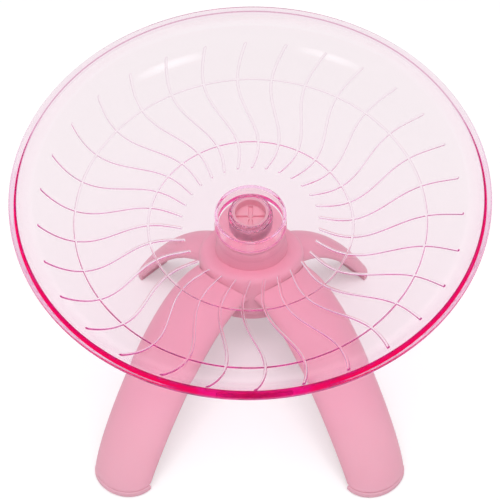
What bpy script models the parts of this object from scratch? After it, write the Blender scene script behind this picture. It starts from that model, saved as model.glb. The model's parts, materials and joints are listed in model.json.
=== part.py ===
"""Exercise wheel for a small pet: a clear running dish on a ball bearing, tilted on a four-legged stand.

Metres, +Z up. The viewer's side of the wheel faces -Y. The origin is on the ground, under the middle of the
model. Lengths along the axle are heights from the plane of the rim, so the hub below the rim is negative.
"""

import math

import bmesh
import bpy
import numpy as np
from mathutils import Matrix, Vector

# Whole wheel
OVERALL_HEIGHT = 0.110
DISH_TILT = math.radians(20)
FIT_GAP = 0.0003
JOIN_OVERLAP = 0.001
CUT_OVERRUN = 0.005

# Running dish
RIM_RADIUS = 0.090
RIM_WIDTH = 0.003
RIM_THICKNESS = 0.0022
BOWL_DEPTH = 0.0264
FLOOR_RADIUS = 0.030
DISH_WALL = 0.0016

# Ring ridges and grip ribs of the dish
INNER_RING_FROM_FLOOR = 0.0100
OUTER_RING_FROM_RIM = 0.0222
RING_WIDTH = 0.0009
RING_HEIGHT = 0.0004
RIB_COUNT = 30
RIB_START_IN_FLOOR = 0.0034
RIB_END_FROM_RIM = 0.0090
RIB_MIDDLE_RADIUS = 0.0508
RIB_THICKNESS = 0.0011
RIB_WAVE_ANGLE = math.radians(4.65)
RIB_WAVE_PHASE = 10.83
RIB_FIRST_ANGLE = math.radians(6.4)

# Hub of the dish
BOSS_RADIUS = 0.0139
BOSS_HEIGHT = 0.0061
BOSS_EDGE = 0.0005
BOSS_WALL = 0.0017
COLLAR_RADIUS = 0.0080
COLLAR_WALL = 0.00065
COLLAR_HEIGHT = 0.0019
WELL_WALL = 0.0012
WELL_FLOOR = 0.0030
NECK_RADIUS = 0.0056

# Spindle with its washer and screw
CUP_DEPTH = 0.0038
CUP_WALL = 0.00175
CUP_RECESS_BELOW_COLLAR = 0.0007
SLOT_WIDTH = 0.0016
SLOT_DEPTH = 0.0009
SHANK_SHORT = 0.0006
WASHER_RADIUS = 0.0055
WASHER_THICKNESS = 0.0010
SPINDLE_SCREW_RADIUS = 0.0015
SPINDLE_SCREW_HEAD_RADIUS = 0.0034
SPINDLE_SCREW_HEAD_HEIGHT = 0.0022
SPINDLE_SCREW_REACH = 0.0080

# Ball bearing
BEARING_BORE_RADIUS = 0.0040
BEARING_RADIUS = 0.0110
BEARING_WIDTH = 0.0070
INNER_SHOULDER_RADIUS = 0.00605
OUTER_SHOULDER_RADIUS = 0.00895
BALL_COUNT = 7
BALL_RADIUS = 0.00198
SHIELD_THICKNESS = 0.0003
SHIELD_INSET = 0.0001
CAGE_RISE = 0.0008

# Stand: head, bearing cap and leg hub
HEAD_WALL = 0.0019
HEAD_FLARE = 0.0024
HUB_RUNNING_GAP = 0.0008
CAP_THICKNESS = 0.0015
CAP_SPIGOT_WALL = 0.0013
CAP_SPIGOT_DEPTH = 0.0009
CAP_BORE_RADIUS = 0.0070
POCKET_FLOOR = 0.0020
ACCESS_RADIUS = 0.0075
HUB_RADIUS = 0.0210
HUB_HEIGHT = 0.0180
HUB_DROP = 0.0040
HUB_EDGE = 0.0025
COVER_RADIUS = 0.0205
COVER_THICKNESS = 0.0020
COVER_EDGE = 0.0006

# Leg sockets, tenons and screws
TENON_WIDTH = 0.0100
TENON_HEIGHT = 0.0060
TENON_DEPTH = 0.0085
TENON_RUN = 0.0042
LEG_SCREW_RADIUS = 0.0015
LEG_SCREW_INSET = 0.0042
LEG_SCREW_HEAD_RADIUS = 0.0028
LEG_SCREW_HEAD_HEIGHT = 0.0016
LEG_SCREW_BITE = 0.0042

# Legs: an arched gutter along a curve from the hub to the ground. Shin and toe are measured from the hub
LEG_WALL = 0.0022
LEG_ROOT_BELOW_HUB_TOP = 0.0040
LEG_ROOT_REACH = 0.0180
LEG_BURIED = 0.0040
FRONT_LEG = {
    "azimuth": math.radians(-42),
    "knee_reach": 0.0350,
    "knee_rise": 0.0020,
    "shin": (0.0433, -0.0949, 0.0266),
    "toe": (0.0519, -0.0999),
    "root_width": 0.0307,
    "toe_width": 0.0222,
    "root_crown": 0.0066,
    "toe_crown": 0.0075,
    "tenon_drop": 0.0012,
}
REAR_LEG = {
    "azimuth": math.radians(40),
    "knee_reach": 0.0355,
    "knee_rise": 0.0010,
    "shin": (0.0420, 0.0306, 0.0160),
    "toe": (0.0510, 0.0386),
    "root_width": 0.0210,
    "toe_width": 0.0160,
    "root_crown": 0.0065,
    "toe_crown": 0.0050,
    "tenon_drop": 0.0023,
}
PAD_HEIGHT = 0.0022

# Fineness
DISH_SEGMENTS = 60
HUB_SEGMENTS = 32
SMALL_SEGMENTS = 24
SCREW_SEGMENTS = 16
BALL_SEGMENTS = 8
BALL_RINGS = 7
POCKET_SEGMENTS = 10
POCKET_RINGS = 6
CAGE_SEGMENTS_PER_BALL = 4
BOWL_STEPS = 9
UNDERSIDE_STEPS = 7
RIB_STEPS = 8
LEG_STEPS = 12
LEG_ARC_STEPS = 8
GROOVE_STEPS = 4
MERGE_DISTANCE = 0.00001
SMOOTH_ANGLE = math.radians(35)

# Radii from the axle
RING_RADII = (FLOOR_RADIUS + INNER_RING_FROM_FLOOR, RIM_RADIUS - OUTER_RING_FROM_RIM)
RIB_INNER_RADIUS = FLOOR_RADIUS - RIB_START_IN_FLOOR
RIB_OUTER_RADIUS = RIM_RADIUS - RIB_END_FROM_RIM
HEAD_RADIUS = BEARING_RADIUS + HEAD_WALL

# Heights along the axle, from the plane of the rim
FLOOR_TOP = -BOWL_DEPTH
FLOOR_UNDER = FLOOR_TOP - DISH_WALL
BOSS_TOP = FLOOR_TOP + BOSS_HEIGHT
COLLAR_TOP = BOSS_TOP + COLLAR_HEIGHT
WELL_RADIUS = COLLAR_RADIUS - COLLAR_WALL
WELL_SEAT = FLOOR_UNDER + WELL_FLOOR
HEAD_TOP = FLOOR_UNDER - HUB_RUNNING_GAP
CAP_UNDER = HEAD_TOP - CAP_THICKNESS
BEARING_TOP = CAP_UNDER - CAP_SPIGOT_DEPTH - FIT_GAP
BEARING_MIDDLE = BEARING_TOP - BEARING_WIDTH / 2
BEARING_UNDER = BEARING_TOP - BEARING_WIDTH
POCKET_BOTTOM = BEARING_UNDER - FIT_GAP
POCKET_FLOOR_UNDER = POCKET_BOTTOM - POCKET_FLOOR
CUP_TOP = COLLAR_TOP - CUP_RECESS_BELOW_COLLAR
CUP_RADIUS = WELL_RADIUS - FIT_GAP
CUP_UNDER = WELL_SEAT + FIT_GAP
SHANK_RADIUS = BEARING_BORE_RADIUS - FIT_GAP
SHANK_END = BEARING_UNDER + SHANK_SHORT
WASHER_TOP = BEARING_UNDER - FIT_GAP
WASHER_UNDER = WASHER_TOP - WASHER_THICKNESS
BALL_PITCH_RADIUS = (INNER_SHOULDER_RADIUS + OUTER_SHOULDER_RADIUS) / 2
SPINDLE_PILOT_RADIUS = SPINDLE_SCREW_RADIUS + FIT_GAP

# Heights above the ground, and places on it
RIM_HEIGHT = OVERALL_HEIGHT - RIM_RADIUS * math.sin(DISH_TILT)
RIM_Y = -RIM_THICKNESS * math.sin(DISH_TILT) / 2
HUB_TOP = RIM_HEIGHT + POCKET_FLOOR_UNDER * math.cos(DISH_TILT) - HUB_DROP
HUB_UNDER = HUB_TOP - HUB_HEIGHT
HUB_Y = RIM_Y + (RIM_HEIGHT - HUB_TOP) * math.tan(DISH_TILT)
COVER_TOP = HUB_UNDER - FIT_GAP
COVER_UNDER = COVER_TOP - COVER_THICKNESS
LEG_ROOT_HEIGHT = HUB_TOP - LEG_ROOT_BELOW_HUB_TOP
LEG_END_HEIGHT = PAD_HEIGHT + FIT_GAP

# The axle's frame: its Z is the axle, and its origin is the middle of the rim
AXLE_FRAME = Matrix.Translation((0, RIM_Y, RIM_HEIGHT)) @ Matrix.Rotation(DISH_TILT, 4, "X")


# Scene helpers


def clear_scene():
    for obj in list(bpy.data.objects):
        bpy.data.objects.remove(obj, do_unlink=True)


def new_collection(name):
    collection = bpy.data.collections.new(name)
    bpy.context.scene.collection.children.link(collection)
    return collection


def plastic(name, colour, roughness, transmission=0.0, metallic=0.0):
    """A Principled material of one colour."""
    material = bpy.data.materials.new(name)
    material.use_nodes = True
    shader = material.node_tree.nodes["Principled BSDF"]
    shader.inputs["Base Color"].default_value = (*colour, 1.0)
    shader.inputs["Roughness"].default_value = roughness
    shader.inputs["Transmission Weight"].default_value = transmission
    shader.inputs["Metallic"].default_value = metallic
    return material


def place(name, data, frame, material=None, parent=None):
    """Puts mesh or curve data into the model's collection as a named object at a frame."""
    obj = bpy.data.objects.new(name, data)
    MODEL.objects.link(obj)
    if material:
        data.materials.append(material)
    if parent:
        obj.parent = parent
        obj.matrix_parent_inverse = parent.matrix_world.inverted()
    obj.matrix_world = frame
    return obj


def place_cutter(name, data, frame):
    obj = bpy.data.objects.new(name, data)
    CUTTERS.objects.link(obj)
    obj.matrix_world = frame
    obj.hide_render = True
    obj.display_type = "WIRE"
    return obj


def axis_empty(name, frame):
    empty = bpy.data.objects.new(name, None)
    MODEL.objects.link(empty)
    empty.matrix_world = frame
    return empty


def smooth(mesh):
    mesh.shade_smooth()
    mesh.set_sharp_from_angle(angle=SMOOTH_ANGLE)


def profile_mesh(name, profile, closed):
    """The outline of a turned shape: points (radius, height), outer side from top to bottom."""
    count = len(profile)
    edges = [(i, i + 1) for i in range(count - 1)]
    if closed:
        edges.append((count - 1, 0))
    mesh = bpy.data.meshes.new(name)
    mesh.from_pydata([(r, 0, h) for r, h in profile], edges, [])
    return mesh


def spin(obj, segments):
    screw = obj.modifiers.new("turn", "SCREW")
    screw.angle = math.tau
    screw.steps = segments
    screw.render_steps = segments
    screw.use_merge_vertices = True
    screw.merge_threshold = MERGE_DISTANCE
    screw.use_smooth_shade = True
    return obj


def turned(name, profile, material, closed=True, segments=SMALL_SEGMENTS, parent=None, frame=AXLE_FRAME):
    """A turned piece about the axle. An open profile starts and ends on the axis."""
    return spin(place(name, profile_mesh(name, profile, closed), frame, material, parent), segments)


def turned_cutter(name, profile, closed=False, segments=SMALL_SEGMENTS, frame=AXLE_FRAME):
    return spin(place_cutter(name, profile_mesh(name, profile, closed), frame), segments)


def box_mesh(name, low, high):
    mesh = bpy.data.meshes.new(name)
    low, high = Vector(low), Vector(high)
    size = Matrix.Diagonal((*(high - low), 1.0))
    form = bmesh.new()
    bmesh.ops.create_cube(form, size=1.0, matrix=Matrix.Translation((low + high) / 2) @ size)
    form.to_mesh(mesh)
    form.free()
    return mesh


def boolean(obj, tool, operation="DIFFERENCE"):
    modifier = obj.modifiers.new(tool.name, "BOOLEAN")
    modifier.operation = operation
    modifier.solver = "EXACT"
    modifier.object = tool
    return obj


def rod(radius, top, bottom):
    """Open profile of a plain cylinder on the axis."""
    return [(0, top), (radius, top), (radius, bottom), (0, bottom)]


def tube(inner, outer, top, bottom):
    """Closed profile of a plain ring."""
    return [(inner, top), (outer, top), (outer, bottom), (inner, bottom)]


def screw_profile(radius, tip, head_radius, head_top, head_height):
    """Open profile of a screw with its tip up and its head down."""
    profile = [(0, tip), (radius, tip), (radius, head_top), (head_radius, head_top)]
    return profile + [(head_radius, head_top - head_height), (0, head_top - head_height)]


# Running dish


def bowl_point(angle, offset=0.0):
    """Radius and height at an angle up from the floor: a flat floor and a quarter of an ellipse."""
    reach = RIM_RADIUS - RIM_WIDTH - FLOOR_RADIUS + offset
    return FLOOR_RADIUS + reach * math.sin(angle), -(BOWL_DEPTH + offset) * math.cos(angle)


def bowl_angle(radius):
    """The angle up from the floor at which the inner face of the bowl has a radius."""
    return math.asin(max(0.0, (radius - FLOOR_RADIUS) / (RIM_RADIUS - RIM_WIDTH - FLOOR_RADIUS)))


def bowl_height(radius):
    return bowl_point(bowl_angle(radius))[1]


def ring_ridge(radius):
    """Four points of a ring ridge on the inner face, from its inner foot to its outer foot."""
    angle = bowl_angle(radius)
    reach = RIM_RADIUS - RIM_WIDTH - FLOOR_RADIUS
    slope = math.atan2(BOWL_DEPTH * math.sin(angle), reach * math.cos(angle))
    points = []
    for across, up in ((-1, 0), (-1 / 2, 1), (1 / 2, 1), (1, 0)):
        step = across * RING_WIDTH / 2
        foot = radius + step * math.cos(slope)
        rise = up * RING_HEIGHT
        points.append((foot - rise * math.sin(slope), bowl_height(foot) + rise * math.cos(slope)))
    return points


def dish_profile():
    """Section of the dish: hub collar and boss, floor, bowl, rim, then back along the underside."""
    points = [(WELL_RADIUS, COLLAR_TOP), (COLLAR_RADIUS, COLLAR_TOP), (COLLAR_RADIUS, BOSS_TOP)]
    points += [(BOSS_RADIUS - BOSS_EDGE, BOSS_TOP), (BOSS_RADIUS, BOSS_TOP - BOSS_EDGE)]
    points += [(BOSS_RADIUS, FLOOR_TOP), (FLOOR_RADIUS, FLOOR_TOP)]
    ridges = [ring_ridge(radius) for radius in RING_RADII]
    bowl = [bowl_point(math.pi / 2 * i / BOWL_STEPS) for i in range(1, BOWL_STEPS + 1)]
    for ridge in ridges:
        bowl = [p for p in bowl if not ridge[0][0] - RING_WIDTH < p[0] < ridge[-1][0] + RING_WIDTH] + ridge
    bowl.sort(key=lambda p: p[0])
    points += bowl
    points += [(RIM_RADIUS, 0), (RIM_RADIUS, -RIM_THICKNESS)]
    lip = math.acos(RIM_THICKNESS / (BOWL_DEPTH + DISH_WALL))
    points += [bowl_point(lip * i / UNDERSIDE_STEPS, DISH_WALL) for i in range(UNDERSIDE_STEPS, -1, -1)]
    points += [(BOSS_RADIUS - BOSS_WALL, FLOOR_UNDER), (BOSS_RADIUS - BOSS_WALL, BOSS_TOP - BOSS_WALL)]
    points += [(WELL_RADIUS + WELL_WALL, BOSS_TOP - BOSS_WALL), (WELL_RADIUS + WELL_WALL, FLOOR_UNDER)]
    neck_end = BEARING_TOP + FIT_GAP
    points += [(NECK_RADIUS, FLOOR_UNDER), (NECK_RADIUS, neck_end), (BEARING_BORE_RADIUS, neck_end)]
    points += [(BEARING_BORE_RADIUS, WELL_SEAT), (WELL_RADIUS, WELL_SEAT)]
    return points


def rib_angle(radius):
    """The S of a rib: its angle swings as a sine whose phase grows with the square root of the radius."""
    phase = RIB_WAVE_PHASE * (math.sqrt(radius / RIB_MIDDLE_RADIUS) - 1)
    return RIB_FIRST_ANGLE + RIB_WAVE_ANGLE * math.sin(phase)


def rib_points():
    radii = np.linspace(RIB_INNER_RADIUS, RIB_OUTER_RADIUS, RIB_STEPS + 1)
    return [(r * math.cos(rib_angle(r)), r * math.sin(rib_angle(r)), bowl_height(r)) for r in radii]


def rib_tool():
    """All ribs in one mesh: square beads with an edge up, half sunk in the inner face, one spline each."""
    curve = bpy.data.curves.new("grip_ribs", "CURVE")
    curve.dimensions = "3D"
    curve.twist_mode = "Z_UP"
    curve.bevel_depth = RIB_THICKNESS / 2
    curve.bevel_resolution = 0
    curve.use_fill_caps = True
    points = rib_points()
    for k in range(RIB_COUNT):
        turn = Matrix.Rotation(math.tau * k / RIB_COUNT, 4, "Z")
        spline = curve.splines.new("POLY")
        spline.points.add(len(points) - 1)
        for target, point in zip(spline.points, points):
            target.co = (*(turn @ Vector(point)), 1.0)
    source = place_cutter("grip_ribs_curve", curve, AXLE_FRAME)
    bpy.context.view_layer.update()
    evaluated = source.evaluated_get(bpy.context.evaluated_depsgraph_get())
    mesh = bpy.data.meshes.new_from_object(evaluated)
    frame = source.matrix_world.copy()
    bpy.data.objects.remove(source, do_unlink=True)
    form = bmesh.new()
    form.from_mesh(mesh)
    bmesh.ops.remove_doubles(form, verts=form.verts, dist=MERGE_DISTANCE)
    bmesh.ops.recalc_face_normals(form, faces=form.faces)
    form.to_mesh(mesh)
    form.free()
    return place_cutter("grip_ribs", mesh, frame)


def make_running_dish(axis):
    dish = turned("running_dish", dish_profile(), CLEAR_PINK, segments=DISH_SEGMENTS, parent=axis)
    return boolean(dish, rib_tool(), "UNION")


# Spindle


def make_spindle(axis):
    """Cup-headed axle: the cup fills the well of the dish, and the shank goes through the bearing."""
    recess_radius = CUP_RADIUS - CUP_WALL
    recess_floor = CUP_TOP - CUP_DEPTH
    profile = [(0, recess_floor), (recess_radius, recess_floor), (recess_radius, CUP_TOP)]
    profile += [(CUP_RADIUS, CUP_TOP), (CUP_RADIUS, CUP_UNDER)]
    profile += [(SHANK_RADIUS, CUP_UNDER), (SHANK_RADIUS, SHANK_END)]
    pilot_top = SHANK_END + SPINDLE_SCREW_REACH
    profile += [(SPINDLE_PILOT_RADIUS, SHANK_END), (SPINDLE_PILOT_RADIUS, pilot_top), (0, pilot_top)]
    spindle = turned("spindle", profile, PINK, closed=False, parent=axis)
    low = recess_floor - SLOT_DEPTH
    high = recess_floor + SLOT_DEPTH
    for k in range(2):
        length, width = recess_radius - FIT_GAP, SLOT_WIDTH / 2
        slot = box_mesh(f"spindle_slot_{k}", (-length, -width, low), (length, width, high))
        turn = Matrix.Rotation(math.pi / 2 * k, 4, "Z")
        boolean(spindle, place_cutter(f"spindle_slot_{k}", slot, AXLE_FRAME @ turn))
    return spindle


def make_spindle_fasteners(axis):
    turned(
        "spindle_washer",
        tube(SPINDLE_PILOT_RADIUS, WASHER_RADIUS, WASHER_TOP, WASHER_UNDER),
        STEEL,
        parent=axis,
    )
    profile = screw_profile(
        SPINDLE_SCREW_RADIUS,
        SHANK_END + SPINDLE_SCREW_REACH - FIT_GAP,
        SPINDLE_SCREW_HEAD_RADIUS,
        WASHER_UNDER - FIT_GAP,
        SPINDLE_SCREW_HEAD_HEIGHT,
    )
    turned("spindle_screw", profile, STEEL, closed=False, segments=SCREW_SEGMENTS, parent=axis)


# Ball bearing


def groove(radius_sign):
    """Points of a ball groove: from top to bottom on the inner ring, from bottom to top on the outer one."""
    shoulder = INNER_SHOULDER_RADIUS if radius_sign < 0 else OUTER_SHOULDER_RADIUS
    radius = BALL_RADIUS + FIT_GAP
    reach = abs(BALL_PITCH_RADIUS - shoulder)
    half = math.acos(reach / radius)
    points = []
    for i in range(GROOVE_STEPS + 1):
        angle = radius_sign * half * (2 * i / GROOVE_STEPS - 1)
        across = BALL_PITCH_RADIUS + radius_sign * radius * math.cos(angle)
        points.append((across, BEARING_MIDDLE + radius * math.sin(angle)))
    return points


def make_bearing_rings(spin_axis):
    inner = [(BEARING_BORE_RADIUS, BEARING_TOP), (INNER_SHOULDER_RADIUS, BEARING_TOP), *groove(-1)]
    inner += [(INNER_SHOULDER_RADIUS, BEARING_UNDER), (BEARING_BORE_RADIUS, BEARING_UNDER)]
    turned("bearing_inner_ring", inner, STEEL, parent=spin_axis)
    recess_radius = OUTER_SHOULDER_RADIUS + 2 * FIT_GAP
    recess_depth = SHIELD_INSET + SHIELD_THICKNESS + FIT_GAP
    upper, lower = BEARING_TOP - recess_depth, BEARING_UNDER + recess_depth
    outer = [(recess_radius, BEARING_TOP), (BEARING_RADIUS, BEARING_TOP), (BEARING_RADIUS, BEARING_UNDER)]
    outer += [(recess_radius, BEARING_UNDER), (recess_radius, lower), (OUTER_SHOULDER_RADIUS, lower)]
    outer += [*groove(1), (OUTER_SHOULDER_RADIUS, upper), (recess_radius, upper)]
    turned("bearing_outer_ring", outer, STEEL)
    shield_inner, shield_outer = INNER_SHOULDER_RADIUS + FIT_GAP, recess_radius - FIT_GAP
    top = BEARING_TOP - SHIELD_INSET
    under = BEARING_UNDER + SHIELD_INSET
    for name, high in (("bearing_shield_top", top), ("bearing_shield_bottom", under + SHIELD_THICKNESS)):
        turned(name, tube(shield_inner, shield_outer, high, high - SHIELD_THICKNESS), STEEL)


def ball_mesh(name, radius, segments, rings):
    mesh = bpy.data.meshes.new(name)
    form = bmesh.new()
    bmesh.ops.create_uvsphere(form, u_segments=segments, v_segments=rings, radius=radius)
    form.to_mesh(mesh)
    form.free()
    smooth(mesh)
    return mesh


def ball_place(index):
    turn = Matrix.Rotation(math.tau * index / BALL_COUNT, 4, "Z")
    return AXLE_FRAME @ turn @ Matrix.Translation((BALL_PITCH_RADIUS, 0, BEARING_MIDDLE))


def make_cage_and_balls(cage_axis):
    """A crown cage: a ring between the race shoulders, with an open pocket over each ball."""
    inner, outer = INNER_SHOULDER_RADIUS + FIT_GAP, OUTER_SHOULDER_RADIUS - FIT_GAP
    bottom = BEARING_UNDER + SHIELD_INSET + SHIELD_THICKNESS + FIT_GAP
    cage = turned(
        "bearing_cage",
        tube(inner, outer, BEARING_MIDDLE + CAGE_RISE, bottom),
        NYLON,
        segments=BALL_COUNT * CAGE_SEGMENTS_PER_BALL,
        parent=cage_axis,
    )
    for k in range(BALL_COUNT):
        mesh = ball_mesh(f"ball_{k + 1}", BALL_RADIUS, BALL_SEGMENTS, BALL_RINGS)
        place(f"bearing_ball_{k + 1}", mesh, ball_place(k), STEEL, cage_axis)
        pocket = ball_mesh(f"pocket_{k + 1}", BALL_RADIUS + FIT_GAP, POCKET_SEGMENTS, POCKET_RINGS)
        boolean(cage, place_cutter(f"cage_pocket_{k + 1}", pocket, ball_place(k)))


# Stand


def hub_place(azimuth):
    """The frame of a leg's root: X points out from the middle of the leg hub, on the ground."""
    return Matrix.Translation((0, HUB_Y, 0)) @ Matrix.Rotation(azimuth, 4, "Z")


def tenon_under(leg):
    return LEG_ROOT_HEIGHT - leg["tenon_drop"] - TENON_HEIGHT


def tenon_box(name, leg, gap):
    """The tenon of a leg, or with a gap its socket, in the frame of the leg's root."""
    inner = HUB_RADIUS - TENON_DEPTH - gap
    outer = HUB_RADIUS + (CUT_OVERRUN if gap else TENON_RUN)
    low = (inner, -TENON_WIDTH / 2 - gap, tenon_under(leg) - gap)
    return box_mesh(name, low, (outer, TENON_WIDTH / 2 + gap, tenon_under(leg) + TENON_HEIGHT + gap))


def screw_hole(name, top, azimuth):
    """An upright hole for a leg screw from below the cover, in a leg, the hub or the cover."""
    frame = hub_place(azimuth) @ Matrix.Translation((HUB_RADIUS - LEG_SCREW_INSET, 0, 0))
    profile = rod(LEG_SCREW_RADIUS + FIT_GAP, top, COVER_UNDER - CUT_OVERRUN)
    return turned_cutter(name, profile, segments=SCREW_SEGMENTS, frame=frame)


def make_stand_hub():
    """Upright leg hub and the tilted head on it, with the bearing pocket and the leg sockets."""
    upright = Matrix.Translation((0, HUB_Y, 0))
    drum = [(0, HUB_TOP), (HUB_RADIUS - HUB_EDGE, HUB_TOP), (HUB_RADIUS, HUB_TOP - HUB_EDGE)]
    drum += [(HUB_RADIUS, HUB_UNDER), (0, HUB_UNDER)]
    hub = turned("stand_hub", drum, PINK, closed=False, segments=HUB_SEGMENTS, frame=upright)
    foot_radius = HEAD_RADIUS + HEAD_FLARE
    buried = foot_radius * math.sin(DISH_TILT) + JOIN_OVERLAP
    head_end = (HUB_TOP - buried - RIM_HEIGHT) / math.cos(DISH_TILT)
    head_top = CAP_UNDER - FIT_GAP
    head = [(0, head_top), (HEAD_RADIUS, head_top), (foot_radius, head_end), (0, head_end)]
    boolean(hub, turned_cutter("stand_head", head, segments=HUB_SEGMENTS), "UNION")
    pocket = rod(BEARING_RADIUS + FIT_GAP, CAP_UNDER + CUT_OVERRUN, POCKET_BOTTOM)
    boolean(hub, turned_cutter("bearing_pocket", pocket, segments=SMALL_SEGMENTS))
    below = -(RIM_HEIGHT - HUB_UNDER) / math.cos(DISH_TILT) - ACCESS_RADIUS
    access = rod(ACCESS_RADIUS, POCKET_BOTTOM + CUT_OVERRUN, below)
    boolean(hub, turned_cutter("access_bore", access, segments=SMALL_SEGMENTS))
    for side, (leg, azimuth, _) in LEGS.items():
        socket = tenon_box(f"socket_{side}", leg, FIT_GAP)
        boolean(hub, place_cutter(f"socket_{side}", socket, hub_place(azimuth)))
        boolean(hub, screw_hole(f"hub_hole_{side}", tenon_under(leg) + LEG_SCREW_RADIUS, azimuth))
    return hub


def make_bearing_cap():
    spigot_outer = BEARING_RADIUS
    spigot_inner = spigot_outer - CAP_SPIGOT_WALL
    spigot_end = CAP_UNDER - CAP_SPIGOT_DEPTH
    profile = [(CAP_BORE_RADIUS, HEAD_TOP), (HEAD_RADIUS, HEAD_TOP), (HEAD_RADIUS, CAP_UNDER)]
    profile += [(spigot_outer, CAP_UNDER), (spigot_outer, spigot_end), (spigot_inner, spigot_end)]
    profile += [(spigot_inner, CAP_UNDER), (CAP_BORE_RADIUS, CAP_UNDER)]
    turned("bearing_cap", profile, PINK, segments=HUB_SEGMENTS)


def make_hub_bottom_cover():
    upright = Matrix.Translation((0, HUB_Y, 0))
    profile = [(0, COVER_TOP), (COVER_RADIUS, COVER_TOP), (COVER_RADIUS, COVER_UNDER + COVER_EDGE)]
    profile += [(COVER_RADIUS - COVER_EDGE, COVER_UNDER), (0, COVER_UNDER)]
    cover = turned("hub_bottom_cover", profile, PINK, closed=False, segments=HUB_SEGMENTS, frame=upright)
    for side, (_, azimuth, _) in LEGS.items():
        boolean(cover, screw_hole(f"cover_hole_{side}", COVER_TOP + CUT_OVERRUN, azimuth))


def make_leg_screws():
    for number, (leg, azimuth, _) in enumerate(LEGS.values(), start=1):
        profile = screw_profile(
            LEG_SCREW_RADIUS,
            tenon_under(leg) + LEG_SCREW_BITE - FIT_GAP,
            LEG_SCREW_HEAD_RADIUS,
            COVER_UNDER - FIT_GAP,
            LEG_SCREW_HEAD_HEIGHT,
        )
        reach = Matrix.Translation((HUB_RADIUS - LEG_SCREW_INSET, 0, 0))
        frame = hub_place(azimuth) @ reach
        turned(f"leg_screw_{number}", profile, STEEL, closed=False, segments=SCREW_SEGMENTS, frame=frame)


# Legs


def leg_grid(leg, mirror):
    """Outer face of a leg: points along a cubic curve, with half an ellipse across it at each.

    The curve leaves the hub level and outwards, and comes down on the foot. Across it the face is half an
    ellipse, as wide as the leg and as deep as its crown.
    """
    azimuth = leg["azimuth"]
    out = np.array([math.cos(azimuth), math.sin(azimuth), 0.0])
    middle = np.array([0.0, HUB_Y, LEG_ROOT_HEIGHT])
    root = middle + (LEG_ROOT_REACH - LEG_BURIED) * out
    knee = middle + leg["knee_reach"] * out + np.array([0.0, 0.0, leg["knee_rise"]])
    shin = np.array(leg["shin"]) + np.array([0.0, HUB_Y, 0.0])
    toe = np.array([*leg["toe"], -CUT_OVERRUN]) + np.array([0.0, HUB_Y, 0.0])
    u = np.linspace(0.0, 1.0, LEG_STEPS + 1)[:, None]
    v = 1.0 - u
    line = v**3 * root + 3 * v**2 * u * knee + 3 * v * u**2 * shin + u**3 * toe
    run = v**2 * (knee - root) + 2 * v * u * (shin - knee) + u**2 * (toe - shin)
    run /= np.linalg.norm(run, axis=1)[:, None]
    side = np.cross(run, (0.0, 0.0, 1.0))
    side /= np.linalg.norm(side, axis=1)[:, None]
    up = np.cross(side, run)
    across = np.linspace(-math.pi / 2, math.pi / 2, LEG_ARC_STEPS + 1)
    half_width = (v * leg["root_width"] + u * leg["toe_width"]) / 2
    crown = v * leg["root_crown"] + u * leg["toe_crown"]
    points = line[:, None, :] + (half_width * np.sin(across))[:, :, None] * side[:, None, :]
    points = points + (crown * (np.cos(across) - 1.0))[:, :, None] * up[:, None, :]
    if mirror:
        points = points * (-1.0, 1.0, 1.0)
        points = points[:, ::-1]
    return points


def grid_mesh(name, points):
    """An open surface through a grid of points."""
    rows, columns = points.shape[:2]
    corner = np.arange(rows * columns).reshape(rows, columns)
    faces = np.stack([corner[:-1, :-1], corner[:-1, 1:], corner[1:, 1:], corner[1:, :-1]], axis=-1)
    mesh = bpy.data.meshes.new(name)
    mesh.from_pydata(points.reshape(-1, 3).tolist(), [], faces.reshape(-1, 4).tolist())
    smooth(mesh)
    return mesh


def make_leg(side, leg, azimuth, mirror, hub_cutter, ground_cutter):
    """The gutter of a leg, cut at the hub and above its pad, with a tenon that enters the hub."""
    shell = place(f"leg_{side}", grid_mesh(f"leg_{side}", leg_grid(leg, mirror)), Matrix(), PINK)
    wall = shell.modifiers.new("wall", "SOLIDIFY")
    wall.thickness = LEG_WALL
    wall.offset = -1.0
    boolean(shell, hub_cutter)
    boolean(shell, ground_cutter)
    tenon = place_cutter(f"tenon_{side}", tenon_box(f"tenon_{side}", leg, 0.0), hub_place(azimuth))
    boolean(shell, tenon, "UNION")
    boolean(shell, screw_hole(f"leg_hole_{side}", tenon_under(leg) + LEG_SCREW_BITE, azimuth))
    return shell


def foot_outline(leg, mirror):
    """Where the outer face of a leg meets the top of its pad, from one rim of the gutter to the other."""
    points = leg_grid(leg, mirror)
    outline = []
    for column in range(points.shape[1]):
        heights = points[:, column, 2]
        row = int(np.argmax(heights < PAD_HEIGHT))
        share = (heights[row - 1] - PAD_HEIGHT) / (heights[row - 1] - heights[row])
        outline.append(points[row - 1, column] + share * (points[row, column] - points[row - 1, column]))
    return outline


def make_foot_pad(side, leg, mirror):
    """A flat pad with the outline of the leg's end."""
    curve = bpy.data.curves.new(f"foot_pad_{side}", "CURVE")
    curve.dimensions = "2D"
    curve.fill_mode = "BOTH"
    curve.extrude = PAD_HEIGHT / 2
    outline = foot_outline(leg, mirror)
    spline = curve.splines.new("POLY")
    spline.points.add(len(outline) - 1)
    spline.use_cyclic_u = True
    for target, point in zip(spline.points, outline):
        target.co = (point[0], point[1], 0.0, 1.0)
    place(f"foot_pad_{side}", curve, Matrix.Translation((0, 0, PAD_HEIGHT / 2)), SOFT_PINK)


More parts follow.
